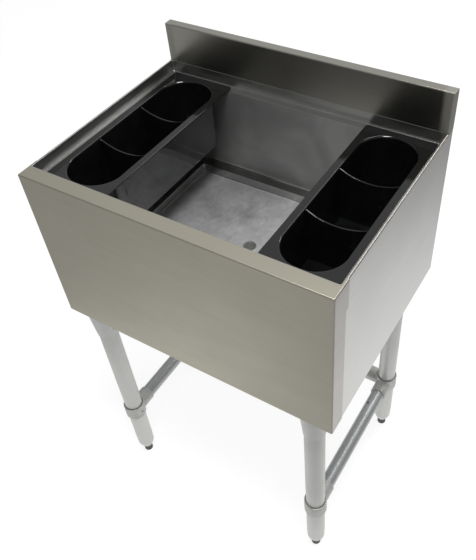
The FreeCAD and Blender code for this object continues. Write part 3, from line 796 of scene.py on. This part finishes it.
class ICEBIN_OT_side_panels(bpy.types.Operator):
    """Fold both side panels with their narrow rims, tabs, tails and rear flanges"""
    bl_idname = "icebin.side_panels"
    bl_label = "Side panels"

    def execute(self, context):
        s = sizes()
        low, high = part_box("right_side_panel")
        strip_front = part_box("front_apron")[1].y
        strip_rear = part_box("backsplash")[0].y
        strip_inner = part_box("bin_liner")[1].x - s.sheet - s.recess_corner
        panel = add_box((strip_inner, strip_front, low.z), (high.x, strip_rear, high.z))
        edit(panel)
        pick("FACE", lambda face: face.normal.x < FACING and face.normal.z < FACING)
        bpy.ops.mesh.delete(type="FACE")
        pick("EDGE", lambda edge: not edge.is_boundary)
        bevel(s.bend, BEND_STEPS)
        for place, target in ((strip_front, low.y), (strip_rear, high.y)):
            pick("EDGE", lambda edge: both(edge, lambda p: (
                abs(p.y - place) < SAME and abs(p.x - high.x) < SAME)))
            bpy.ops.mesh.extrude_edges_move(TRANSFORM_OT_translate={"value": (0, target - place, 0)})
        fold = high.z - s.bend
        pick("EDGE", lambda edge: both(edge, lambda p: abs(p.z - fold) < SAME and p.y > strip_rear - SAME))
        bpy.ops.mesh.extrude_edges_move(TRANSFORM_OT_translate={"value": (0, 0, s.bend)})
        thicken(panel, s.sheet)
        combine(panel, recess_cutter())
        flange_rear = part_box("rear_panel")[0].y
        inner = high.x - s.sheet
        flange = add_box((low.x, flange_rear - s.sheet, low.z + s.rear_flange_rise),
                         (inner + s.sheet / 2, flange_rear, high.z - s.ledge_drop))
        combine(panel, flange, "UNION")
        ease(panel, s.edge, test=lambda p: p.z < fold)
        # The side panels' lighter colour and their rims' darker one are painted reflection and shade.
        c = colours()
        brushed = brushed_steel("side_steel", ALONG_Y, c.steel, c.steel_dark, rough=(0.29, 0.32))
        folded = brushed_steel("rim_steel", ALONG_Y, c.fold, c.fold_dark, rough=(0.34, 0.38))
        left = mirrored(panel, x=0.0)
        settle(panel, "right_side_sheet", "right_side_panel", "stainless", "cabinet", brushed, folded)
        settle(left, "left_side_sheet", "left_side_panel", "stainless", "cabinet", brushed, folded)
        for sheet in (panel, left):
            give_second_finish(sheet, lambda face: face.center.z > fold)
        return {"FINISHED"}


class ICEBIN_OT_backsplash(bpy.types.Operator):
    """Fold the backsplash with its round upright corners, top, end returns and rear hem"""
    bl_idname = "icebin.backsplash"
    bl_label = "Backsplash"

    def execute(self, context):
        s = sizes()
        low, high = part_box("backsplash")
        hem = high.z - s.splash_hem
        splash = add_box(low, high)
        edit(splash)
        pick("FACE", lambda face: face.normal.y > FACING)
        bpy.ops.mesh.bisect(plane_co=(0, high.y, hem), plane_no=(0, 0, 1))
        pick("FACE", lambda face: face.normal.z < -FACING
             or (face.normal.y > FACING and face.calc_center_median().z < hem))
        bpy.ops.mesh.delete(type="FACE")
        pick("EDGE", lambda edge: both(edge, lambda p: p.y < low.y + SAME)
             and edge.verts[0].co.x == edge.verts[1].co.x)
        bevel(s.splash_corner, ROUND_STEPS)
        pick("EDGE", lambda edge: both(edge, lambda p: p.z > high.z - SAME))
        bevel(s.bend, BEND_STEPS)
        thicken(splash, s.sheet)
        ease(splash, s.edge)
        # The backsplash's darker colour is painted shade.
        settle(splash, "splash_sheet", "backsplash", "stainless", "cabinet", brushed_steel(
            "splash_steel", ALONG_X, colours().splash, colours().splash_dark, rough=(0.28, 0.34),
            weld=high.x - s.splash_weld))
        return {"FINISHED"}


class ICEBIN_OT_liner(bpy.types.Operator):
    """Build the liner from its upstand down to the sunk panel in its floor"""
    bl_idname = "icebin.liner"
    bl_label = "Bin liner"
    ledge_finish, wall_finish, margin_finish, panel_finish = range(4)
    level = 0.9

    def execute(self, context):
        s = sizes()
        low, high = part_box("bin_liner")
        wall = Vector((s.sheet, s.sheet, 0))
        recess = (low + wall, high - wall)
        ledge_width = Vector((s.ledge_side, s.ledge_end, 0))
        bin_box = (recess[0] + ledge_width, recess[1] - ledge_width)
        margin = Vector((s.panel_side, s.panel_end, 0))
        rim = (bin_box[0] + margin, bin_box[1] - margin)
        slope = Vector((s.panel_draft, s.panel_draft, 0))
        panel = (rim[0] + slope, rim[1] - slope)
        ledge = high.z - s.ledge_drop
        panel_floor = low.z + s.sheet
        floor = panel_floor + s.panel_step
        outlines = [
            (*recess, s.recess_corner, high.z),
            (*recess, s.recess_corner, ledge),
            (*bin_box, s.bin_corner, ledge),
            (*bin_box, s.bin_corner, floor),
            (*rim, s.panel_corner + s.panel_draft, floor),
            (*panel, s.panel_corner, panel_floor),
        ]
        liner = add_rings(outlines, CORNER_STEPS, ends=(False, True))

        def on_ring(box, height):
            """A test for edges on the outline of a box at one height."""
            def near(point):
                x_gap = abs(abs(point.x) - box[1].x)
                y_gap = min(abs(point.y - box[0].y), abs(point.y - box[1].y))
                return abs(point.z - height) < SAME and min(x_gap, y_gap) < s.bin_corner / 3
            return lambda edge: both(edge, near)

        edit(liner)
        pick("FACE", lambda face: face.calc_center_median().z < panel_floor + SAME)
        bm = bmesh.from_edit_mesh(liner.data)
        if any(face.select and face.normal.z < 0 for face in bm.faces):
            bpy.ops.mesh.select_all(action="SELECT")
            bpy.ops.mesh.flip_normals()
        for box, height, radius, steps in ((recess, ledge, s.ledge_cove, BEND_STEPS),
                                           (bin_box, ledge, s.ledge_nose, SOFT_STEPS),
                                           (bin_box, floor, s.floor_cove, COVE_STEPS),
                                           (rim, floor, s.panel_soft, SOFT_STEPS),
                                           (panel, panel_floor, s.panel_soft, SOFT_STEPS)):
            pick("EDGE", on_ring(box, height))
            bevel(radius, steps)
        thicken(liner, s.sheet)
        drain = middle_of("drain_nipple")
        hole = add_rod((drain.x, drain.y, low.z - OVERSHOOT), (drain.x, drain.y, low.z + OVERSHOOT),
                       s.drain_pipe, TUBE_SIDES)
        combine(liner, hole)
        ease(liner, s.liner_lip, LIP_STEPS, test=lambda p: p.z > high.z - SAME and (
            abs(p.x) < recess[1].x + SAME and recess[0].y - SAME < p.y < recess[1].y + SAME))
        # The bin walls' darker colour is painted shade.
        c = colours()
        settle(liner, "liner_sheet", "bin_liner", "stainless", "cabinet",
               liner_steel("ledge_steel", c.liner, c.liner_dark, metal=1.0, rough=(0.29, 0.32)),
               liner_steel("wall_steel", c.wall, c.wall_dark, metal=0.5, rough=(0.34, 0.42)),
               liner_steel("margin_steel", c.liner, c.liner_dark, metal=1.0, rough=(0.14, 0.20)),
               # The sunk panel's finish paints light onto it, lighter towards the right and front.
               worn_steel_painted_light("panel_steel"))
        for face in liner.data.polygons:
            if face.normal.z > self.level and face.center.z < panel_floor + s.panel_soft:
                face.material_index = self.panel_finish
            elif face.center.z < floor + s.floor_cove / 4:
                face.material_index = self.margin_finish
            elif face.center.z < ledge - s.ledge_nose:
                face.material_index = self.wall_finish
        return {"FINISHED"}


class ICEBIN_OT_drain(bpy.types.Operator):
    """Turn the drain: a ring flush with the floor, a flange under it and a stub below the cabinet"""
    bl_idname = "icebin.drain"
    bl_label = "Drain"

    def execute(self, context):
        s = sizes()
        low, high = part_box("drain_nipple")
        middle = middle_of("drain_nipple")
        under_floor = high.z - s.sheet
        shoulder = low.z + s.drain_stub_length
        flange_radius = (high.x - low.x) / 2
        section = [
            (s.drain_bore, low.z), (s.drain_stub, low.z), (s.drain_stub, shoulder), (s.drain_pipe, shoulder),
            (s.drain_pipe, under_floor - s.drain_flange), (flange_radius, under_floor - s.drain_flange),
            (flange_radius, under_floor), (s.drain_pipe, under_floor), (s.drain_pipe, high.z),
            (s.drain_bore, high.z), (s.drain_bore, low.z),
        ]
        pipe = add_spun(section, middle.x, middle.y)
        ease(pipe, 2 * s.edge, test=lambda p: p.z < shoulder or (p.z > high.z - SAME and
             (p.xy - middle.xy).length < s.drain_bore + SAME))
        c = colours()
        settle(pipe, "drain_pipe", "drain_nipple", "stainless", "cabinet",
               brushed_steel("drain_steel", ALONG_Z, c.steel, c.steel_dark, rough=(0.27, 0.34)),
               satin_grey("drain_bore_painted_light"))
        # The bore's inner faces get a lighter satin grey: painted light on the drain's centre.
        give_second_finish(pipe, lambda face: face.normal.xy.dot(face.center.xy - middle.xy) < -SAME)
        return {"FINISHED"}


# Mouldings

class ICEBIN_OT_holders(bpy.types.Operator):
    """Mould both bottle holders with their flanges, long wells, scooped dividers and drains"""
    bl_idname = "icebin.holders"
    bl_label = "Bottle holders"
    wells = 3

    def execute(self, context):
        s = sizes()
        low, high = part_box("right_bottle_holder")
        middle = (low + high) / 2
        floor = low.z + s.holder_wall

        def well(offset, height):
            """The well's round-ended outline at one height, grown by an offset."""
            narrowing = s.well_draft * (high.z - height) / (high.z - low.z)
            half = Vector((s.well_width / 2 + offset - narrowing, s.well_length / 2 + offset - narrowing, 0))
            return middle - half, middle + half, half.x - s.well_flat, height

        under = high.z - s.holder_flange
        outlines = [
            well(0.0, floor), well(0.0, high.z), (low, high, s.holder_corner, high.z),
            (low, high, s.holder_corner, under), well(s.holder_wall, under), well(s.holder_wall, low.z),
        ]
        holder = add_rings(outlines, WELL_STEPS, ends=(True, True))

        margin = s.holder_corner + s.holder_wall

        def inside(point):
            """Whether a point is well clear of the flange's outer edge."""
            return low.x + margin < point.x < high.x - margin and low.y + margin < point.y < high.y - margin

        edit(holder)
        for height, radius, steps, inner in ((high.z, s.holder_lip, SMOOTH_STEPS, True),
                                             (floor, s.holder_base - s.holder_wall, LIP_STEPS, True),
                                             (low.z, s.holder_base, BEND_STEPS, True),
                                             (high.z, 2 * s.edge, EDGE_STEPS, False)):
            pick("EDGE", lambda edge: both(edge, lambda p: abs(p.z - height) < SAME and inside(p) == inner))
            bevel(radius, steps)
        bpy.ops.object.mode_set(mode="OBJECT")
        pitch = s.well_length / self.wells
        first = middle.y - s.well_length / 2
        for index in range(1, self.wells):
            combine(holder, self.divider(middle.x, first + index * pitch, high.z, floor), "UNION")
        for index in range(self.wells):
            y = first + (index + 0.5) * pitch
            combine(holder, add_rod((middle.x, y, low.z - OVERSHOOT), (middle.x, y, floor + OVERSHOOT),
                                    s.well_drain, HOLE_SIDES))
        clean = black_plastic("holder_plastic", colours().plastic_dust, colours().plastic)
        # The holders' outer walls get a lighter finish: painted reflection.
        painted_reflection_finish = black_plastic("holder_outside", colours().painted_reflection, colours().painted_reflection_dark, shine=0.9)
        left = mirrored(holder, x=0.0)
        settle(holder, "right_holder_moulding", "right_bottle_holder", "black_plastic", "right_holder",
               clean, painted_reflection_finish)
        settle(left, "left_holder_moulding", "left_bottle_holder", "black_plastic", "left_holder",
               clean, painted_reflection_finish)
        straight = (s.well_length - s.well_width) / 2

        def outer_wall(face):
            """Whether a face is on the outside of the well's wall."""
            centre = face.center
            past_straight = max(0.0, abs(centre.y - middle.y) - straight)
            reach = math.hypot(abs(centre.x) - middle.x, past_straight)
            return centre.z < under and reach > well(s.holder_wall / 2, centre.z)[1].x - middle.x

        # Both holders' outer walls get the painted reflection.
        for moulding in (holder, left):
            give_second_finish(moulding, outer_wall)
        return {"FINISHED"}

    def divider(self, x, y, top, floor):
        """A wall across the well with a scooped, softly rounded top."""
        s = sizes()
        half = s.well_width / 2 + s.holder_wall / 2
        bottom = floor - s.holder_wall / 2
        slab = add_box((x - half, y - s.divider / 2, bottom),
                       (x + half, y + s.divider / 2, top - s.divider_end))
        edit(slab)
        pick("VERT", lambda vertex: vertex.co.z < bottom + SAME)
        bpy.ops.transform.resize(value=((half - s.well_draft) / half, 1, 1), center_override=(x, y, bottom))
        rise = s.divider_middle - s.divider_end
        radius = ((s.well_width / 2) ** 2 + rise ** 2) / (2 * rise)
        axis = top - s.divider_middle + radius
        scoop = add_rod((x, y - OVERSHOOT, axis), (x, y + OVERSHOOT, axis), radius, SCOOP_SIDES)
        combine(slab, scoop)
        ease(slab, s.divider / 4, SOFT_STEPS, test=lambda p: p.z > top - s.divider_middle - s.edge)
        return slab


# Legs and what holds them

def leg_side(leg):
    """Which side a leg is on: right is 1, left is minus 1."""
    return 1 if leg.endswith("right") else -1


def leg_end(leg):
    """Which end a leg is at: rear is 1, front is minus 1."""
    return 1 if leg.startswith("rear") else -1


class ICEBIN_OT_legs(bpy.types.Operator):
    """Draw the four leg tubes"""
    bl_idname = "icebin.legs"
    bl_label = "Legs"

    def execute(self, context):
        s = sizes()
        material = satin_grey("leg_satin")
        for leg in LEGS:
            low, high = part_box(leg + "_leg")
            middle = (low + high) / 2
            tube = add_rod((middle.x, middle.y, low.z), (middle.x, middle.y, high.z), (high.x - low.x) / 2,
                           TUBE_SIDES, capped=False)
            thicken(tube, s.tube_wall)
            ease(tube, s.edge)
            settle(tube, leg + "_leg_tube", leg + "_leg", "leg_metal", "cabinet", material)
        return {"FINISHED"}


class ICEBIN_OT_gussets(bpy.types.Operator):
    """Form the four gussets: a cone with a weld bead under an offset plate"""
    bl_idname = "icebin.gussets"
    bl_label = "Gussets"

    def execute(self, context):
        s = sizes()
        low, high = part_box("front_right_gusset")
        axis = middle_of("front_right_leg")
        leg_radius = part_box("front_right_leg")[1].x - axis.x
        plate_low = high.z - s.gusset_plate
        bore = leg_radius + s.slip
        section = [
            (bore, low.z), (s.gusset_bottom, low.z), (s.gusset_top, plate_low - s.weld_bead),
            (s.gusset_top + s.weld_bead / 2, plate_low - s.weld_bead * 0.6),
            (s.gusset_top + s.weld_bead, plate_low + s.edge), (bore, plate_low + s.edge), (bore, low.z),
        ]
        cone = add_spun(section, axis.x, axis.y)
        ease(cone, 2 * s.edge, test=lambda p: p.z < low.z + SAME)
        plate = add_box((low.x, low.y, plate_low), high)
        edit(plate)
        pick("EDGE", lambda edge: abs(edge.verts[0].co.z - edge.verts[1].co.z) > s.gusset_plate / 2)
        bevel(s.gusset_corner, SMOOTH_STEPS)
        ease(plate, s.edge)
        gusset = plate
        combine(gusset, cone, "UNION")
        screw = middle_of("gusset_set_screws").z
        holes = [((bolt.x, bolt.y, low.z), (bolt.x, bolt.y, high.z + OVERSHOOT)) for bolt in self.bolts(axis)]
        holes.append(((axis.x, axis.y, screw), (low.x - OVERSHOOT, axis.y, screw)))
        for start, end in holes:
            combine(gusset, add_rod(start, end, s.screw_hole, HOLE_SIDES))
        material = satin_grey("gusset_satin")
        for leg in LEGS:
            place = middle_of(leg + "_leg")
            offset = Vector((0, place.y - axis.y, 0))
            straight = moved(gusset, offset)
            copy = mirrored(straight, x=0.0 if leg_side(leg) < 0 else None,
                            y=place.y if leg_end(leg) > 0 else None)
            bpy.data.objects.remove(straight, do_unlink=True)
            settle(copy, leg + "_gusset_cone", leg + "_gusset", "leg_metal", "cabinet", material)
        bpy.data.objects.remove(gusset, do_unlink=True)
        return {"FINISHED"}

    def bolts(self, axis):
        """Centres of the three bolts round one leg, read from the frame's bolts."""
        points = [vertex.co for vertex in frame["nodes"]["gusset_bolts"].data.vertices]
        bolts = []
        for point in points:
            if (point.xy - axis.xy).length >= BOLT_REACH:
                continue
            for bolt in bolts:
                if (bolt[0].xy - point.xy).length < BOLT_SPREAD:
                    bolt.append(point)
                    break
            else:
                bolts.append([point])
        middles = []
        for bolt in bolts:
            xs = [point.x for point in bolt]
            ys = [point.y for point in bolt]
            middles.append(Vector(((min(xs) + max(xs)) / 2, (min(ys) + max(ys)) / 2, 0)))
        return middles


class ICEBIN_OT_collars(bpy.types.Operator):
    """Cast the four brace collars with a socket arm for each rail"""
    bl_idname = "icebin.collars"
    bl_label = "Brace collars"

    def execute(self, context):
        material = cast_metal("collar_cast")
        for leg in LEGS:
            casting = self.collar(leg)
            settle(casting, leg + "_collar_casting", leg + "_collar", "cast_collar", "cabinet", material)
        return {"FINISHED"}

    def collar(self, leg):
        """One collar: forms run together, then bored."""
        s = sizes()
        low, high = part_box(leg + "_collar")
        axis = middle_of(leg + "_leg")
        centre = Vector((axis.x, axis.y, middle_of("rear_rail").z))
        leg_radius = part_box(leg + "_leg")[1].x - axis.x
        rail_low, rail_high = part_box("rear_rail")
        rail_radius = (rail_high.z - rail_low.z) / 2
        arms = [Vector((0, -leg_end(leg), 0))]
        if leg_end(leg) > 0:
            arms.append(Vector((-leg_side(leg), 0, 0)))
        top = Vector((axis.x, axis.y, high.z))
        bottom = Vector((axis.x, axis.y, low.z))
        body = add_rod(bottom, top, s.collar, CAST_SIDES)
        ease(body, s.collar_edge, SMOOTH_STEPS, test=lambda p: p.z < low.z + SAME)
        for arm in arms:
            combine(body, add_rod(centre, centre + arm * s.collar_reach, s.collar_arm, CAST_SIDES), "UNION")
        modify(body, "REMESH", mode="VOXEL", voxel_size=s.cast_grain)
        modify(body, "SMOOTH", factor=0.5, iterations=CAST_SMOOTHING)
        bore = leg_radius + s.slip
        above = top + UP * OVERSHOOT
        combine(body, add_rod(bottom - UP * OVERSHOOT, above, bore, TUBE_SIDES))
        combine(body, add_rod(top - UP * s.collar_mouth_depth, above, bore + s.collar_mouth, TUBE_SIDES))
        for arm in arms:
            combine(body, add_rod(centre + arm * s.collar, centre + arm * (s.collar_reach + OVERSHOOT),
                                  rail_radius + s.slip, TUBE_SIDES))
        facing = Vector((0, 1, 0)) if leg_end(leg) > 0 else Vector((-leg_side(leg), 0, 0))
        combine(body, add_rod(centre, centre + facing * s.collar * 2, s.screw_hole, HOLE_SIDES))
        return body


class ICEBIN_OT_rails(bpy.types.Operator):
    """Draw the three brace rails, the side ones with a vent hole"""
    bl_idname = "icebin.rails"
    bl_label = "Brace rails"

    def execute(self, context):
        s = sizes()
        material = drawn_tube("rail_tube")
        rear_leg = middle_of("rear_right_leg").y
        for rail, axis in (("left_rail", ALONG_Y), ("right_rail", ALONG_Y), ("rear_rail", ALONG_X)):
            low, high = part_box(rail)
            start = (low + high) / 2
            end = start.copy()
            start[axis] = low[axis]
            end[axis] = high[axis]
            tube = add_rod(start, end, (high.z - low.z) / 2, TUBE_SIDES, capped=False)
            thicken(tube, s.tube_wall)
            ease(tube, s.edge)
            if axis == ALONG_Y:
                vent = Vector((start.x, rear_leg - s.vent_setback, start.z))
                inward = math.copysign(math.sin(s.vent_tilt), -start.x)
                facing = Vector((inward, 0, math.cos(s.vent_tilt)))
                combine(tube, add_rod(vent, vent + facing * 2 * OVERSHOOT, s.vent, HOLE_SIDES))
            settle(tube, rail + "_tube", rail, "galvanised_tube", "cabinet", material)
        return {"FINISHED"}


class ICEBIN_OT_feet(bpy.types.Operator):
    """Turn the four bullet feet with dark tips and threaded stems"""
    bl_idname = "icebin.feet"
    bl_label = "Bullet feet"
    cone_steps = 8

    def execute(self, context):
        s = sizes()
        first = LEGS[0]
        low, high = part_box(first + "_foot")
        middle = (low + high) / 2
        barrel = (high.x - low.x) / 2
        cone_top = s.foot_tip_height + s.foot_cone_height
        barrel_top = cone_top + s.foot_barrel_height
        section = [(0.0, 0.0), (s.foot_tip, 0.0), (s.foot_tip, s.foot_tip_height)]
        for index in range(self.cone_steps + 1):
            t = index / self.cone_steps
            swell = s.foot_bulge * (1 - (2 * t - 1) ** 2)
            section.append((s.foot_cone + (barrel - s.foot_cone) * t + swell,
                            s.foot_tip_height + s.foot_cone_height * t - swell / 4))
        section.append((barrel, barrel_top))
        height = barrel_top
        while height + s.thread_pitch < high.z:
            section.append((s.stem - s.thread_depth, height))
            section.append((s.stem, height + s.thread_pitch / 2))
            height += s.thread_pitch
        section.append((s.stem - s.thread_depth, high.z))
        section.append((0.0, high.z))
        foot = add_spun(section, middle.x, middle.y)
        ease(foot, 2 * s.edge, test=lambda p: p.z < barrel_top + SAME and (p.xy - middle.xy).length > s.stem)
        satin = satin_grey("foot_satin")
        tip = dark_foot_tip("foot_tip_dark")
        for leg in LEGS:
            place = middle_of(leg + "_foot")
            copy = moved(foot, place - middle)
            settle(copy, leg + "_foot_turning", leg + "_foot", "leg_metal", leg + "_adjuster", satin, tip)
            # The lowest part of each foot is coloured dark.
            give_second_finish(copy, lambda face: face.center.z < s.foot_tip_height - s.edge)
        bpy.data.objects.remove(foot, do_unlink=True)
        return {"FINISHED"}


class ICEBIN_OT_inner_pieces(bpy.types.Operator):
    """Give the panels, foam, plugs and fasteners that keep their own shape their finishes"""
    bl_idname = "icebin.inner_pieces"
    bl_label = "Inner pieces"

    def execute(self, context):
        finishes = {
            "galvanised_sheet": zinc_coat("panel_zinc", crystals=55.0, rough=(0.45, 0.30)),
            "foam": foam_cells("insulation_foam"),
            "insert_plastic": black_plastic("insert_plastic", colours().plastic_dust, colours().plastic),
            "fastener": zinc_coat("fastener_zinc", crystals=600.0, rough=(0.40, 0.25)),
        }
        for entry in frame["record"]["subparts"]:
            finish = finishes.get(entry["material_slot"])
            if finish is not None:
                slots = frame["nodes"][entry["node"]].data.materials
                slots.clear()
                slots.append(finish)
        return {"FINISHED"}


class ICEBIN_OT_stage(bpy.types.Operator):
    """Set up the pale floor, the soft studio light and the camera"""
    bl_idname = "icebin.stage"
    bl_label = "Stage"

    def execute(self, context):
        studio = context.scene.ice_bin_studio
        deselect()
        bpy.ops.mesh.primitive_circle_add(vertices=FLOOR_SIDES, radius=FLOOR_RADIUS, fill_type="NGON")
        floor = bpy.context.active_object
        floor.name = "studio_floor"
        floor.data.materials.append(self.floor_finish(studio))
        self.sky(context.scene, studio)
        self.lamp("softbox", SOFTBOX_PLACE, SOFTBOX_SPANS, studio.softbox)
        self.lamp("strip", STRIP_PLACE, STRIP_SPANS, studio.strip)
        bpy.ops.object.camera_add(location=studio.eye, rotation=(studio.tilt, studio.roll, studio.heading))
        camera = bpy.context.active_object
        camera.name = "photo_camera"
        camera.data.lens = studio.lens
        camera.data.sensor_width = SENSOR_WIDTH
        camera.data.shift_x, camera.data.shift_y = studio.shift
        camera.data.clip_end = VIEW_END
        context.scene.camera = camera
        context.scene.view_settings.view_transform = "Standard"
        return {"FINISHED"}

    def lamp(self, name, place, spans, power):
        """A flat lamp that faces the bin."""
        bpy.ops.object.light_add(type="AREA", location=place)
        lamp = bpy.context.active_object
        lamp.name = name
        lamp.data.shape = "RECTANGLE"
        lamp.data.size, lamp.data.size_y = spans
        lamp.data.energy = power
        lamp.rotation_euler = (Vector(place) - LAMP_AIM).to_track_quat("Z", "Y").to_euler()

    def floor_finish(self, studio):
        """A pale, faintly cloudy floor with a glow of its own, which fades before the bin and beside it."""
        material, tree, shader, place = new_finish("floor_paper", Roughness=0.9)
        cloud = noise(tree, place, 0.8, detail=3.0)
        pale = colours().floor
        shaded = [channel * FLOOR_SHADE for channel in pale[:3]] + [1.0]
        coloured(tree, shader, cloud, (0.3, shaded), (0.7, pale))
        ahead = along(tree, place, (-math.sin(studio.heading), math.cos(studio.heading), 0.0))
        aside = along(tree, place, (math.cos(studio.heading), math.sin(studio.heading), 0.0))
        past_front = spread(tree, ahead, *FRONT_FADE, 0.0, 1.0, soft=True)
        leftward = blend(tree, ((aside, 1.0), (ahead, LEFT_SLANT)))
        past_left = spread(tree, leftward, *LEFT_FADE, 0.0, 1.0, soft=True)
        rightward = blend(tree, ((aside, 1.0), (ahead, RIGHT_SLANT)))
        past_right = spread(tree, rightward, *RIGHT_FADE, 0.0, 1.0, soft=True)
        framed = math_node(tree, "MULTIPLY", past_front, past_left)
        inner = spread(tree, past_right, 0.0, 1.0, studio.floor_glow, studio.floor_side)
        rest = spread(tree, framed, 0.0, 1.0, studio.floor_dim, 0.0)
        glow = math_node(tree, "ADD", math_node(tree, "MULTIPLY", inner, framed), rest)
        shader.inputs["Emission Color"].default_value = (1.0, 1.0, 1.0, 1.0)
        tree.links.new(glow, shader.inputs["Emission Strength"])
        return material

    def sky(self, scene, studio):
        """Soft light from all round, with a wide glow from the rear."""
        world = bpy.data.worlds.new("studio_sky")
        scene.world = world
        world.use_nodes = True
        tree = world.node_tree
        background = tree.nodes["Background"]
        direction = add_node(tree, "ShaderNodeTexCoord").outputs["Generated"]
        rearward = along(tree, direction, GLOW_TOWARD)
        glow = spread(tree, rearward, GLOW_EDGE, GLOW_CORE, 0.0, studio.rear_glow)
        strength = math_node(tree, "ADD", glow, studio.sky)
        tree.links.new(strength, background.inputs["Strength"])
        background.inputs["Color"].default_value = (1.0, 1.0, 1.0, 1.0)


OPERATORS = (
    ICEBIN_OT_front_apron,
    ICEBIN_OT_side_panels,
    ICEBIN_OT_backsplash,
    ICEBIN_OT_liner,
    ICEBIN_OT_drain,
    ICEBIN_OT_holders,
    ICEBIN_OT_gussets,
    ICEBIN_OT_legs,
    ICEBIN_OT_collars,
    ICEBIN_OT_rails,
    ICEBIN_OT_feet,
    ICEBIN_OT_inner_pieces,
    ICEBIN_OT_stage,
)


class ICEBIN_PT_sidebar(bpy.types.Panel):
    """The ice bin's steps, in the order in which they run"""
    bl_idname = "ICEBIN_PT_sidebar"
    bl_label = "Ice Bin"
    bl_space_type = "VIEW_3D"
    bl_region_type = "UI"
    bl_category = "Ice Bin"

    def draw(self, context):
        for step in OPERATORS:
            self.layout.operator(step.bl_idname)


GROUPS = {
    "ice_bin_sizes": IceBinSizes,
    "ice_bin_colours": IceBinColours,
    "ice_bin_studio": IceBinStudio,
}


def register():
    """Add the properties, the steps and the panel."""
    for cls in (*GROUPS.values(), *OPERATORS, ICEBIN_PT_sidebar):
        bpy.utils.register_class(cls)
    for name, group in GROUPS.items():
        setattr(bpy.types.Scene, name, bpy.props.PointerProperty(type=group))


def unregister():
    """Take the panel, the steps and the properties away."""
    for name in GROUPS:
        delattr(bpy.types.Scene, name)
    for cls in (ICEBIN_PT_sidebar, *reversed(OPERATORS), *GROUPS.values()):
        bpy.utils.unregister_class(cls)


def main():
    """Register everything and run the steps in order."""
    register()
    for step in OPERATORS:
        group, name = step.bl_idname.split(".")
        getattr(getattr(bpy.ops, group), name)()


if __name__ == "__main__":
    main()
